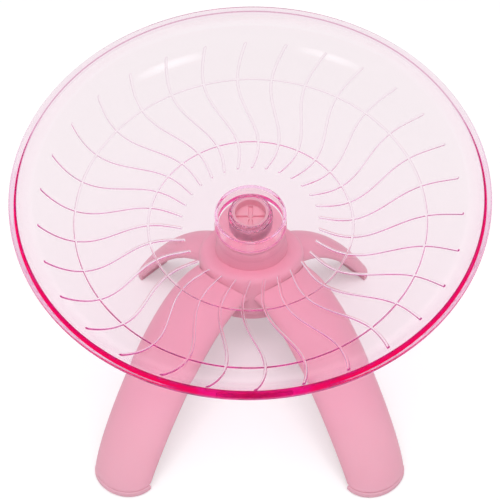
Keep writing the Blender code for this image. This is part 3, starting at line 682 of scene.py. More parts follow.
def dish_rows(s):
    """Section of the dish as a closed loop of rows: collar and boss, inner face, rim, underside and neck."""
    floor_top, floor_under = -s.bowl_depth, -s.bowl_depth - s.wall
    boss_top = floor_top + s.boss_height
    collar_top, seat = boss_top + s.collar_height, floor_under + s.well_floor
    well = s.collar_radius - s.collar_wall
    neck_end = floor_under - s.neck_length
    bore = bpy.context.scene.wheel_hub.bearing_bore
    bowl = s.rim_radius - s.rim_width
    reach = bowl - s.floor_radius + s.wall
    lip = math.acos(s.rim_taper / (s.bowl_depth + s.wall))
    under_t = np.linspace(lip, 0, BOWL_TABLE_STEPS)
    under = np.stack([s.floor_radius + reach * np.sin(under_t), floor_under * np.cos(under_t)], axis=1)
    rows, run = spread_rows(*under.T, UNDERSIDE_STEP, UNDERSIDE_TURN)
    under = np.stack([np.interp(rows[1:], run, under[:, 0]), np.interp(rows[1:], run, under[:, 1])], axis=1)
    lip_point = (s.floor_radius + reach * math.sin(lip), -s.rim_taper)
    top = eased(
        [(well, seat), (well, collar_top), (s.collar_radius, collar_top), (s.collar_radius, boss_top),
         (s.boss_radius, boss_top), (s.boss_radius, floor_top), (s.floor_radius, floor_top)],
        (*COLLAR_CUTS, s.boss_edge, BOSS_FOOT_CUT),
    )
    rim = eased(
        [(bowl, -s.bowl_depth), (bowl, 0), (s.rim_radius, 0), (s.rim_radius, -s.rim_face), lip_point,
         under[0]],
        (s.rim_lip, s.rim_edge, *RIM_FOOT_CUTS),
        steps=4,
    )
    boss_inner, well_outer = s.boss_radius - s.boss_wall, well + s.well_wall
    inner_top = boss_top - s.boss_wall
    hub = eased(
        [(s.floor_radius, floor_under), (boss_inner, floor_under), (boss_inner, inner_top),
         (well_outer, inner_top), (well_outer, floor_under), (s.neck_radius, floor_under),
         (s.neck_radius, neck_end), (bore, neck_end), (bore, seat), (well, seat), (well, collar_top)],
        UNDERSIDE_CUTS,
    )
    return top, rim, under, hub


def painted_rim_shade(s, rim):
    """Painted shade: two on the rows of the rim's inner top edge, where a deep pink line is painted in place
    of the line that bent light draws there, otherwise zero.
    """
    r, h = rim.T
    reach = LIP_REACH * s.rim_lip
    return 2.0 * ((r < s.rim_radius - s.rim_width + reach) & (h > -reach))


def well_mark(s, hub):
    """The roughness of the faces in and under the cup's well, otherwise zero."""
    well_outer = s.collar_radius - s.collar_wall + s.well_wall
    return WELL_ROUGHNESS * (hub[:, 0] < well_outer + WELL_MARGIN)


def dish_mesh(s):
    """The dish in one closed grid: the section's loop of rows, spun so that its columns follow the ribs.

    Between the ribs' ends a column keeps its share of the rib's width as the rib swings, so each rib has
    columns along its flat top and its two edges. A rib or ring stands out along the face's normal by its
    height times its crest, and where they cross the higher one shows.
    """
    top, rim, under, hub = dish_rows(s)
    face = dish_face_rows(s)
    a, b, across = sector_columns(RIDGE_SHARES, RIB_FILLERS)
    section = np.concatenate([top, np.stack([face["radius"], face["height"]], axis=1), rim, under, hub])
    after_face = len(top) + len(face["radius"])
    on_face = slice(len(top), after_face)
    centre, half = rib_direction(s, section[:, 0])
    ends = np.array([s.rib_inner, s.rib_outer])
    for values, at_ends in zip((centre, half), rib_direction(s, ends)):
        values[after_face:] = np.interp(section[after_face:, 0], ends, at_ends)
    even = np.ones(len(section))
    clear = np.maximum(s.rib_inner - face["radius"], face["radius"] - s.rib_outer) / EVEN_REACH
    even[on_face] = np.clip(clear, 0, 1)
    around = sector_angles(centre, half, s.rib_count, a, b, even)
    share = np.tile(np.abs(across), s.rib_count)
    rib = np.hypot(share[None, :], face["beyond"][:, None])
    ring = np.broadcast_to(face["ring"][:, None], rib.shape)
    on_rib, on_ring = s.rib_height * crest(rib), s.ring_height * crest(ring)
    relief, edge, matt = np.zeros((3, *around.shape))
    relief[on_face] = np.maximum(on_rib, on_ring)
    # Painted shade: the steep sides of ribs and rings and the rim's inner lip are marked for darker tints, in
    # place of the lines that bent light draws there.
    steep_ring = ridge_edge(ring) * (on_rib < on_ring + ON_FLAT)
    edge[on_face] = np.maximum(ridge_edge(rib) * (on_rib >= on_ring), steep_ring)
    edge[after_face : after_face + len(rim)] = painted_rim_shade(s, rim)[:, None]
    matt[-len(hub) :] = well_mark(s, hub)[:, None]
    normal = np.zeros(section.shape)
    normal[on_face] = np.stack([face["normal_r"], face["normal_h"]], axis=1)
    r = section[:, :1] + relief * normal[:, :1]
    h = section[:, 1:] + relief * normal[:, 1:]
    points = on_axle(polar(r, around, h))
    mesh = closed_mesh("running_dish_fine", points, grid_quads(*points.shape[:2], close_rows=True))
    for name, values in (("ridge_edge", edge), ("matt_inside", matt)):
        mesh.attributes.new(name, "FLOAT", "POINT").data.foreach_set("value", values.ravel())
    return mesh


class WHEEL_OT_dish(Operator):
    """Makes the clear running dish with its rim, ribs, ring ridges and hub"""

    bl_idname = "wheel.dish"
    bl_label = "Running dish"

    def execute(self, context):
        mesh = dish_mesh(context.scene.wheel_dish)
        piece("running_dish_clear", mesh, clear_plastic(), "wheel", "clear_pink_plastic", "running_dish")
        return {"FINISHED"}


# Heights of the hub pieces along the axle


def axle_heights(context):
    """Heights along the axle, worked out downwards from the dish."""
    s, h = context.scene.wheel_dish, context.scene.wheel_hub
    floor_under = -s.bowl_depth - s.wall
    found = {"collar_top": -s.bowl_depth + s.boss_height + s.collar_height}
    found["well_seat"] = floor_under + s.well_floor
    found["head_top"] = floor_under - h.running_gap
    found["cap_under"] = found["head_top"] - h.cap_thickness
    found["spigot_end"] = found["cap_under"] - h.spigot_depth
    found["bearing_top"] = found["spigot_end"] - h.gap
    found["bearing_under"] = found["bearing_top"] - h.bearing_width
    found["pocket_bottom"] = found["bearing_under"] - h.gap
    return found


# Spindle

ARM_COUNT = 4
CROSS_LIMIT = math.radians(34)
ARM_SHARES = np.array([-1.2, -1.0, 0.0, 1.0, 1.2])
DISC_ROWS = np.array([0.06, 0.3, 0.55, 0.8, 0.9, 0.96, 1.0, 1.04])
CORNER_ROWS = np.array([1.02, 1.1])
NEAR_ZERO = 1e-6
SPINDLE_CUTS = (0.0003, 0.0004, 0.0004, 0.0003, 0.0003, 0.0004, 0.0002, 0.0002)
SHANK_SHORT = 0.0006
PILOT_DEPTH = 0.0080


def cross_rows(rows, half_width, reach, depth, fillers):
    """A flat disc with a cross sunk in it: angles and depths at rows of radii.

    An arm's half angle at radius r is arcsin(half width / r), held under a limit, so its columns run straight
    along its two sides. Inside the radius where that limit starts, all of the disc is sunk.
    """
    a, b, across = sector_columns(ARM_SHARES, fillers)
    limit = math.sin(CROSS_LIMIT)
    half = np.arcsin(np.minimum(half_width / np.maximum(rows, NEAR_ZERO), limit))
    around = sector_angles(np.zeros(len(rows)), half, ARM_COUNT, a, b)
    on_arm = np.tile(np.abs(across), ARM_COUNT)[None, :] <= 1.0
    sunk = on_arm | (rows[:, None] * limit <= half_width)
    return around, -depth * (sunk & (rows[:, None] <= reach))


def crossed_points(outline, half_width, reach, depth, fillers=9):
    """A turned piece whose end disc holds a cross: the disc's rows at the outline's first height, then the
    eased outline. Depth is positive for a cross that is sunk below that height."""
    corners = CORNER_ROWS * half_width / math.sin(CROSS_LIMIT)
    rows = np.sort(np.concatenate([DISC_ROWS * reach, corners]))
    around, relief = cross_rows(rows, half_width, reach, depth, fillers)
    shape_around, _ = cross_rows(outline[:, 0], half_width, reach, depth, fillers)
    r = np.concatenate([rows, outline[:, 0]])[:, None]
    h = np.concatenate([outline[0, 1] + relief, np.repeat(outline[:, 1:], relief.shape[1], axis=1)])
    return polar(r, np.concatenate([around, shape_around]), h)


class WHEEL_OT_spindle(Operator):
    """Makes the cup-headed spindle that carries the dish in the bearing"""

    bl_idname = "wheel.spindle"
    bl_label = "Spindle"

    def execute(self, context):
        s, h, z = context.scene.wheel_dish, context.scene.wheel_hub, axle_heights(context)
        radius = s.collar_radius - s.collar_wall - h.gap
        recess = radius - h.cup_wall
        top = z["collar_top"] - h.cup_below_collar
        floor, under = top - h.cup_depth, z["well_seat"] + h.gap
        shank, end = h.bearing_bore - h.gap, z["bearing_under"] + SHANK_SHORT
        pilot, pilot_top = h.screw_radius + h.gap, end + PILOT_DEPTH
        outline = eased(
            [(0, floor), (recess, floor), (recess, top), (radius, top), (radius, under), (shank, under),
             (shank, end), (pilot, end), (pilot, pilot_top), (0, pilot_top)],
            SPINDLE_CUTS,
            steps=5,
        )
        points = crossed_points(outline, h.slot_width / 2, recess - 2 * h.gap, h.slot_depth)
        mesh = capped_mesh("spindle_fine", on_axle(points))
        piece("cup_spindle", mesh, pink_plastic(), "wheel", "pink_plastic", "spindle")
        return {"FINISHED"}


# Ball bearing

GROOVE_STEPS = 13
RACE_EDGE = 0.0003
SHIELD_EDGE = 0.00006
CAGE_EDGE = 0.00012
FASTENER_EDGE = 0.0002
BALL_COUNT = 7
BALL_ROWS = 26
BALL_COLUMNS = 48
WELD_REACH = 0.000001


class WHEEL_OT_bearing(Operator):
    """Makes the rings, shields and balls of the ball bearing, and dresses its cage, washer and screw"""

    bl_idname = "wheel.bearing"
    bl_label = "Ball bearing"

    def execute(self, context):
        h, z = context.scene.wheel_hub, axle_heights(context)
        metal = bearing_steel()
        top, under = z["bearing_top"], z["bearing_under"]
        middle = (top + under) / 2
        pitch = (h.inner_shoulder + h.outer_shoulder) / 2
        groove = h.ball_radius + h.gap
        recess = h.outer_shoulder + 2 * h.gap
        sunk = h.shield_inset + h.shield_thickness + h.gap
        half = math.acos((pitch - h.inner_shoulder) / groove)
        sweep = np.linspace(-half, half, GROOVE_STEPS)
        groove_r, groove_h = groove * np.cos(sweep), middle - groove * np.sin(sweep)
        inward = np.stack([pitch - groove_r, groove_h], axis=1)
        outward = np.stack([pitch + groove_r, groove_h[::-1]], axis=1)
        inner = [(h.bearing_bore, top), (h.inner_shoulder, top), *inward, (h.inner_shoulder, under),
                 (h.bearing_bore, under)]
        outer = [(recess, top), (h.bearing_radius, top), (h.bearing_radius, under), (recess, under),
                 (recess, under + sunk), (h.outer_shoulder, under + sunk), *outward,
                 (h.outer_shoulder, top - sunk), (recess, top - sunk)]
        soft, fine = RACE_EDGE, RACE_EDGE / 10
        inner_cuts = [soft, soft, *[fine] * len(sweep), soft, soft]
        outer_cuts = [fine, soft, soft, fine, fine, fine, *[fine] * len(sweep), fine, fine]
        self.make_ring("bearing_inner_ring", "ground", inner, inner_cuts, "wheel", metal)
        self.make_ring("bearing_outer_ring", "ground", outer, outer_cuts, "stand", metal)
        low, high = h.inner_shoulder + h.gap, recess - h.gap
        for side, face in (
            ("top", top - h.shield_inset),
            ("bottom", under + h.shield_inset + h.shield_thickness),
        ):
            back = face - h.shield_thickness
            corners = [(low, face), (high, face), (high, back), (low, back)]
            self.make_ring(f"bearing_shield_{side}", "pressed", corners, SHIELD_EDGE, "stand", metal)
        for number in range(1, BALL_COUNT + 1):
            name = f"bearing_ball_{number}"
            mesh = ball_mesh(sum(node_box(name)) / 2, h.ball_radius)
            piece(name + "_polished", mesh, metal, "ball_cage", "bearing_steel", name)
        dress("bearing_cage", nylon(), CAGE_EDGE)
        for node in ("spindle_washer", "spindle_screw"):
            dress(node, screw_steel(), FASTENER_EDGE)
        return {"FINISHED"}

    def make_ring(self, node, finish, corners, cuts, body, metal):
        """A turned ring of the bearing."""
        mesh = turned_mesh(node + "_fine", corners, cuts, on_axle, solid=False)
        piece(f"{node}_{finish}", mesh, metal, body, "bearing_steel", node)


def ball_mesh(centre, radius):
    """A ball: rings at latitudes t, of radius r cos t and height r sin t, shut at its poles."""
    t = np.linspace(-math.pi / 2, math.pi / 2, BALL_ROWS)[1:-1]
    profile = radius * np.stack([np.cos(t), np.sin(t)], axis=1)
    points = spun(profile, np.linspace(0, TURN, BALL_COLUMNS, endpoint=False)[None, :])
    return capped_mesh("ball_fine", points + centre)


def dress(node, material, edge):
    """Gives a node of the frame its finish and a small rounding of its edges."""
    obj = frame["nodes"][node]
    for slot in obj.material_slots:
        slot.material = material
    if not obj.material_slots:
        obj.data.materials.append(material)
    modify(obj, "weld", "WELD", merge_threshold=WELD_REACH)
    modify(obj, "edge", "BEVEL", width=edge, segments=2, limit_method="ANGLE", angle_limit=SHARP_ANGLE)


# Hub of the stand

BLOCK_EDGE = 0.0004
BLOCK_SHARES = np.array([0.85, 1.0, 1.0, 0.85])
TOOL_OVERRUN = 0.005
SCREW_HOLE_EDGE = 0.0001
SCREW_HOLE_COLUMNS = 32
HEAD_SUNK = 0.001
HUB_EDGE = 0.0003
HUB_COLUMNS = 128
CAP_CUTS = (0.0003, 0.0004, 0.0002, 0.0001, 0.0002, 0.0002, 0.0001, 0.0002)
COVER_TOP_EDGE = 0.0002


def block_mesh(name, low, high, place):
    """A bar along X: a rectangle with eased corners, carried from one end to the other."""
    (x0, y0, z0), (x1, y1, z1) = low, high
    corners = np.array([(y1, z1), (y0, z1), (y0, z0), (y1, z0)])
    outline = eased(np.vstack([corners[-1:], corners, corners[:1]]), BLOCK_EDGE)
    rows = np.array([x0, x0 + BLOCK_EDGE, x1 - BLOCK_EDGE, x1])
    middle = np.array([(y0 + y1) / 2, (z0 + z1) / 2])
    across = middle + (outline - middle)[None, :, :] * BLOCK_SHARES[:, None, None]
    points = np.concatenate([np.repeat(rows[:, None, None], len(outline), axis=1), across], axis=2)
    return capped_mesh(name, place(points))


def rod_mesh(name, radius, high, low, cuts, place, foot=None, segments=96):
    """A round rod between two heights, or a cone where its foot has another radius."""
    corners = [(0, high), (radius, high), (foot or radius, low), (0, low)]
    return turned_mesh(name, corners, cuts, place, segments=segments)


def leg_list(context):
    """Each leg by its name: its form, the direction of its root, and its sign across the wheel."""
    front, rear = context.scene.wheel_front_leg, context.scene.wheel_rear_leg
    return {
        "front_right": (front, front.azimuth, 1.0),
        "front_left": (front, math.pi - front.azimuth, -1.0),
        "rear_right": (rear, rear.azimuth, 1.0),
        "rear_left": (rear, math.pi - rear.azimuth, -1.0),
    }


def hub_sizes(context):
    """Heights and radius of the leg hub, from the frame and its own height."""
    h = context.scene.wheel_hub
    radius = (HUB_HIGH[0] - HUB_LOW[0]) / 2
    return radius, HUB_LOW[2], HUB_LOW[2] + h.hub_height


def tenon_mesh(context, leg, azimuth, name, gap):
    """The tenon of a leg, or with a gap the socket that takes it."""
    g = context.scene.wheel_legs
    radius, _, top = hub_sizes(context)
    under = top - g.root_below_hub - leg.tenon_drop - g.tenon_height
    end = radius + (TOOL_OVERRUN if gap else g.tenon_run)
    low = (radius - g.tenon_depth - gap, -g.tenon_width / 2 - gap, under - gap)
    high = (end, g.tenon_width / 2 + gap, under + g.tenon_height + gap)
    return block_mesh(name, low, high, beside_hub(azimuth, 0.0)), under


def screw_hole_mesh(context, azimuth, top):
    """The hole of a leg screw, from below the hub up to a height."""
    h = context.scene.wheel_hub
    radius, under, _ = hub_sizes(context)
    place = beside_hub(azimuth, radius - h.screw_inset)
    hole = h.screw_radius + h.gap
    low = under - TOOL_OVERRUN
    return rod_mesh("screw_hole", hole, top, low, SCREW_HOLE_EDGE, place, segments=SCREW_HOLE_COLUMNS)


class WHEEL_OT_hub(Operator):
    """Makes the leg hub with its tilted head, the bearing cap and the bottom cover"""

    bl_idname = "wheel.hub"
    bl_label = "Hub of the stand"

    def execute(self, context):
        h, z = context.scene.wheel_hub, axle_heights(context)
        plastic = pink_plastic()
        radius, under, top = hub_sizes(context)
        head, pocket = h.bearing_radius + h.head_wall, h.bearing_radius + h.gap
        foot, head_top, floor = head + h.head_flare, z["cap_under"] - h.gap, z["pocket_bottom"]
        lean = math.sin(math.acos(AXLE[2]))
        head_end = (top - foot * lean - HEAD_SUNK - RIM_MIDDLE[2]) / AXLE[2]
        low = -(RIM_MIDDLE[2] - under) / AXLE[2] - h.access_radius
        cuts = (h.hub_edge, HUB_EDGE)
        drum = rod_mesh("stand_hub_fine", radius, top, under, cuts, on_hub, segments=HUB_COLUMNS)
        tower = rod_mesh("head", head, head_top, head_end, HUB_EDGE, on_axle, foot=foot)
        drum = combined(drum, tower, "UNION")
        for name, bore, start, end in (
            ("pocket", pocket, head_top, floor),
            ("access", h.access_radius, floor, low),
        ):
            tool = rod_mesh(name, bore, start + TOOL_OVERRUN, end, HUB_EDGE, on_axle)
            drum = combined(drum, tool)
        for leg, azimuth, _ in leg_list(context).values():
            socket, tenon_under = tenon_mesh(context, leg, azimuth, "socket", h.gap)
            drum = combined(drum, socket)
            drum = combined(drum, screw_hole_mesh(context, azimuth, tenon_under + h.screw_radius))
        piece("leg_hub_with_head", drum, plastic, "stand", "pink_plastic", "stand_hub")
        self.make_cap(h, z, head, plastic)
        self.make_cover(context, plastic)
        return {"FINISHED"}

    def make_cap(self, h, z, head, plastic):
        """The ring that closes the head, with the spigot that holds the bearing down."""
        top, under, end = z["head_top"], z["cap_under"], z["spigot_end"]
        spigot = h.bearing_radius
        inner = spigot - h.spigot_wall
        corners = [(h.cap_bore, top), (head, top), (head, under), (spigot, under), (spigot, end),
                   (inner, end), (inner, under), (h.cap_bore, under)]
        mesh = turned_mesh("bearing_cap_fine", corners, CAP_CUTS, on_axle, solid=False)
        piece("bearing_cap_ring", mesh, plastic, "stand", "pink_plastic", "bearing_cap")

    def make_cover(self, context, plastic):
        """The disc that closes the hub from below, with its four screw holes."""
        radius, high, low = (COVER_HIGH[0] - COVER_LOW[0]) / 2, COVER_HIGH[2], COVER_LOW[2]
        cuts = (COVER_TOP_EDGE, context.scene.wheel_hub.cover_edge)
        mesh = rod_mesh("hub_cover_fine", radius, high, low, cuts, on_hub, segments=HUB_COLUMNS)
        for _, azimuth, _ in leg_list(context).values():
            mesh = combined(mesh, screw_hole_mesh(context, azimuth, high + TOOL_OVERRUN))
        piece("hub_cover_disc", mesh, plastic, "stand", "pink_plastic", "hub_bottom_cover")


# Legs

SCREW_BITE = 0.0042
LIP_ANGLE = math.radians(14)
LIP_STEPS = 4
LEG_ARC_STEPS = 48
LEG_ROWS = 72
HALVINGS = 40
PAD_SIDE_STEPS = 16
PAD_EDGE_STEPS = 5
PAD_CORNER = math.radians(8)


def leg_points(context, leg, u, across, depth):
    """Points of a leg at shares u along it, angles across its arch and depths into its wall.

    The line along the leg is the cubic curve of root, knee, shin and toe. Across it the outer face is half
    an ellipse: half width x sin(angle) to the side and crown x (cos(angle) - 1) up. Depth goes inwards along
    the normal of that ellipse.
    """
    g = context.scene.wheel_legs
    _, _, top = hub_sizes(context)
    out = np.array([math.cos(leg.azimuth), math.sin(leg.azimuth), 0.0])
    middle = HUB_MIDDLE + np.array([0.0, 0.0, top - g.root_below_hub])
    root = middle + g.root_reach * out
    knee = middle + leg.knee_reach * out + np.array([0.0, 0.0, leg.knee_rise])
    shin, toe = HUB_MIDDLE + np.array(leg.shin), HUB_MIDDLE + np.array(leg.toe)
    u = np.asarray(u)[..., None]
    v = 1 - u
    line = v**3 * root + 3 * v**2 * u * knee + 3 * v * u**2 * shin + u**3 * toe
    run = v**2 * (knee - root) + 2 * v * u * (shin - knee) + u**2 * (toe - shin)
    run = run / np.linalg.norm(run, axis=-1, keepdims=True)
    side = np.cross(run, (0.0, 0.0, 1.0))
    side = side / np.linalg.norm(side, axis=-1, keepdims=True)
    up = np.cross(side, run)
    half = (v * leg.root_width + u * leg.toe_width)[..., 0] / 2
    crown = (v * leg.root_crown + u * leg.toe_crown)[..., 0]
    normal_x, normal_y = crown * np.sin(across), half * np.cos(across)
    size = np.hypot(normal_x, normal_y)
    x = half * np.sin(across) - depth * normal_x / size
    y = crown * (np.cos(across) - 1) - depth * normal_y / size
    return line + x[..., None] * side + y[..., None] * up


def crossing(context, leg, across, depth, beyond):
    """The shares along a leg at which a test turns true, one for each line along it, by halving."""
    low, high = np.zeros(len(across)), np.ones(len(across))
    for _ in range(HALVINGS):
        middle = (low + high) / 2
        passed = beyond(leg_points(context, leg, middle, across, depth))
        low, high = np.where(passed, low, middle), np.where(passed, middle, high)
    return (low + high) / 2


def leg_loop(wall):
    """The loop round the wall of a leg, as angles across it and depths into it, from the middle of its left
    lip over the outer face to the middle of its right lip and back along the inner face.

    A lip is the parabola in angle and depth from the face towards the corner at 90 degrees.
    """
    edge = math.pi / 2 - LIP_ANGLE
    t = np.linspace(0, 1, LIP_STEPS + 1)[1:]
    lip_angle = (1 - t) ** 2 * edge + (1 - (1 - t) ** 2) * math.pi / 2
    lip_depth = t**2 * wall / 2
    face = np.linspace(-edge, edge, LEG_ARC_STEPS + 1)
    across = np.concatenate([-lip_angle[::-1], face, lip_angle])
    depth = np.concatenate([lip_depth[::-1], np.zeros(len(face)), lip_depth])
    return np.concatenate([across, across[-2:0:-1]]), np.concatenate([depth, wall - depth[-2:0:-1]])


def leg_mesh(context, leg, azimuth, sign, name):
    """The gutter of a leg, cut by the hub and above its pad, with the tenon that enters the hub."""
    g, h = context.scene.wheel_legs, context.scene.wheel_hub
    radius, _, _ = hub_sizes(context)
    across, depth = leg_loop(g.wall)
    count = len(across)

    def clear_of_hub(points):
        """Whether points lie outside the hub's drum and its clearance."""
        return np.hypot(points[:, 0], points[:, 1] - HUB_MIDDLE[1]) > radius + h.gap

    def below_pad(points):
        """Whether points lie lower than the top of the pad and its clearance."""
        return points[:, 2] < PAD_TOP + h.gap

    start = crossing(context, leg, across, depth, clear_of_hub)
    end = crossing(context, leg, across, depth, below_pad)
    share = np.linspace(0, 1, LEG_ROWS)[:, None]
    points = leg_points(context, leg, start + share * (end - start), across, depth)
    points = points * (sign, 1.0, 1.0)
    quads = grid_quads(LEG_ROWS, count)
    i = np.arange(1, count // 2 - 1)
    cap = np.stack([i, i + 1, count - i - 1, count - i], axis=1)
    tips = np.array([[0, 1, count - 1], [count // 2 - 1, count // 2, count // 2 + 1]])
    last = (LEG_ROWS - 1) * count
    quads = np.concatenate([quads, cap, cap[:, ::-1] + last])
    triangles = np.concatenate([tips, tips[:, ::-1] + last])
    mesh = closed_mesh(name, points, quads, triangles)
    mesh = softened(mesh, g.edge)
    tenon, under = tenon_mesh(context, leg, azimuth, "tenon", 0.0)
    mesh = combined(mesh, tenon, "UNION")
    return combined(mesh, screw_hole_mesh(context, azimuth, under + SCREW_BITE))


def pad_mesh(context, leg, sign, name):
    """A flat pad with the outline of the leg's end: half an arch, shut by a straight side.

    The rim of each level lies its inset nearer to the middle of the outline, and the inset follows a quarter
    of a circle at the bottom and at the top, so both edges are rounded.
    """
    g = context.scene.wheel_legs
    side = math.pi / 2 - PAD_CORNER
    across = np.linspace(-side, side, LEG_ARC_STEPS + 1)
    depth = np.zeros(len(across))
    share = crossing(context, leg, across, depth, lambda points: points[:, 2] < PAD_TOP)
    arch = leg_points(context, leg, share, across, depth)[:, :2]
    t = np.linspace(0, 1, PAD_SIDE_STEPS + 1)[1:-1, None]
    outline = np.concatenate([arch, arch[-1] + t * (arch[0] - arch[-1])]) * (sign, 1.0)
    middle = outline.mean(axis=0)
    turn = np.linspace(0, math.pi / 2, PAD_EDGE_STEPS + 1)
    rising, falling = g.pad_edge * (1 - np.sin(turn)), g.pad_edge * (1 - np.cos(turn))
    inset = np.concatenate([rising, falling]) - g.pad_ledge
    level = np.concatenate([falling, PAD_TOP - rising])
    away = outline - middle
    size = np.linalg.norm(away, axis=1)[None, :, None]
    rings = middle + away[None] * (1 - inset[:, None, None] / size)
    heights = np.repeat(level[:, None, None], len(outline), axis=1)
    return capped_mesh(name, np.concatenate([rings, heights], axis=2))


class WHEEL_OT_legs(Operator):
    """Makes the four arched legs"""

    bl_idname = "wheel.legs"
    bl_label = "Legs"

    def execute(self, context):
        plastic = pink_plastic()
        for side, (leg, azimuth, sign) in leg_list(context).items():
            mesh = leg_mesh(context, leg, azimuth, sign, f"leg_{side}_fine")
            piece(f"arched_leg_{side}", mesh, plastic, "stand", "pink_plastic", f"leg_{side}")
        return {"FINISHED"}


class WHEEL_OT_pads(Operator):
    """Makes the four soft foot pads"""

    bl_idname = "wheel.pads"
    bl_label = "Foot pads"

    def execute(self, context):
        rubber = soft_rubber()
        for side, (leg, _, sign) in leg_list(context).items():
            mesh = pad_mesh(context, leg, sign, f"pad_{side}_fine")
            piece(f"soft_pad_{side}", mesh, rubber, "stand", "soft_pink_rubber", f"foot_pad_{side}")
        return {"FINISHED"}


# Screws

SCREW_COUNT = 4
SCREW_HEAD_HEIGHT = 0.0016
SCREW_FLAT = 0.35
SCREW_DOME = 0.0008
SCREW_DOME_STEPS = 9
SCREW_EDGE = 0.00015
SCREW_CROSS_HALF = 0.00035
SCREW_CROSS_REACH = 0.62
SCREW_CROSS_DEPTH = 0.0007
SCREW_TIP = 0.35
THREAD_DEPTH = 0.00028
THREAD_START = 0.0005
THREAD_ROWS = 8


class WHEEL_OT_screws(Operator):
    """Makes the four leg screws with their threads, pan heads and cross recesses"""

    bl_idname = "wheel.screws"
    bl_label = "Leg screws"

    def execute(self, context):
        h = context.scene.wheel_hub
        metal = screw_steel()
        for number in range(1, SCREW_COUNT + 1):
            low, high = node_box(f"leg_screw_{number}")
            mesh = screw_mesh(h, low, high, f"leg_screw_{number}_fine")
            piece(f"pan_head_screw_{number}", mesh, metal, "stand", "screw_steel", f"leg_screw_{number}")
        return {"FINISHED"}


def screw_mesh(h, low, high, name):
    """A self-tapping screw, head down.

    The head's dome lies back from its flat middle by dome x (1 - sqrt(1 - t t)), where t is the share of the
    head's radius, and holds a cross. The thread's radius is core + depth x (1 - |2 p - 1|), where p is the
    part of a turn that the height has run ahead of the angle, and it fades over the last turn before the tip.
    """
    middle = np.array([(low[0] + high[0]) / 2, (low[1] + high[1]) / 2, 0.0])
    head = (high[0] - low[0]) / 2
    seat = low[2] + SCREW_HEAD_HEIGHT
    t = np.linspace(SCREW_FLAT, 1.0, SCREW_DOME_STEPS)
    back = SCREW_DOME * (1 - np.sqrt(np.clip(1 - t**2, 0, 1)))
    dome = np.stack([head * t, low[2] + back - back[0]], axis=1)
    neck = [dome[-1], (head, seat), (h.screw_radius, seat), (h.screw_radius, high[2])]
    outline = np.concatenate([dome, eased(neck, SCREW_EDGE)])
    reach = SCREW_CROSS_REACH * head
    points = crossed_points(outline, SCREW_CROSS_HALF, reach, -SCREW_CROSS_DEPTH, fillers=5)
    rows = np.arange(seat + THREAD_START, high[2], h.screw_pitch / THREAD_ROWS)[:, None]
    around = np.arctan2(points[-1, :, 1], points[-1, :, 0])[None, :]
    part = np.mod(rows / h.screw_pitch - around / TURN, 1.0)
    fade = np.clip((high[2] - rows) / h.screw_pitch, 0, 1)
    core = (h.screw_radius - THREAD_DEPTH) * np.clip(SCREW_TIP + fade, 0, 1)
    shank = polar(core + THREAD_DEPTH * (1 - np.abs(2 * part - 1)) * fade, around, rows)
    return capped_mesh(name, np.concatenate([points, shank]) + middle)


# Stage

WHITE = (1.0, 1.0, 1.0)
GLASS_BOUNCES = 48
FLOOR_DROP = -0.0002
FLOOR_RADII = 0.55 * np.array([0.1, 0.4, 0.7, 1.0])
FLOOR_COLUMNS = 64
FLOOR_WHITE = 0.70
FLOOR_GLOW = 0.42
GLASS_GLOW = 0.34
WORLD_GLOW = 0.55
HORIZON_LEVELS = ((0.0, 0.93), (0.25, 0.93), (0.6, 1.0), (1.0, 1.0))
CEILING_LEVELS = ((0.0, 0.35), (0.3, 0.35), (0.7, 0.08), (1.0, 0.08))
LAMP_AIM = (0.0, 0.0, 0.05)
LAMP_PEAK = 9 / 4

# Soft boxes: name, place, size, power, and whether glass and gloss mirror them
SOFT_BOXES = (
    ("overhead", (0.0, -1.2, 2.9), (2.4, 1.6), 40.0, False),
    ("front_right", (1.25, -1.88, 2.01), (1.3, 0.6), 2.0, True),
    ("front_left", (-1.37, -2.10, 1.69), (1.3, 0.6), 1.6, True),
)

CAMERA_LENS = 94.66857
SENSOR_WIDTH = 36.0
CAMERA_AIM = (-0.000203, -0.000375, 0.047797)
CAMERA_DISTANCE = 0.509864
CAMERA_AZIMUTH = math.radians(1.168703)
CAMERA_ELEVATION = math.radians(36.560554)
CAMERA_ROLL = math.radians(-0.723595)


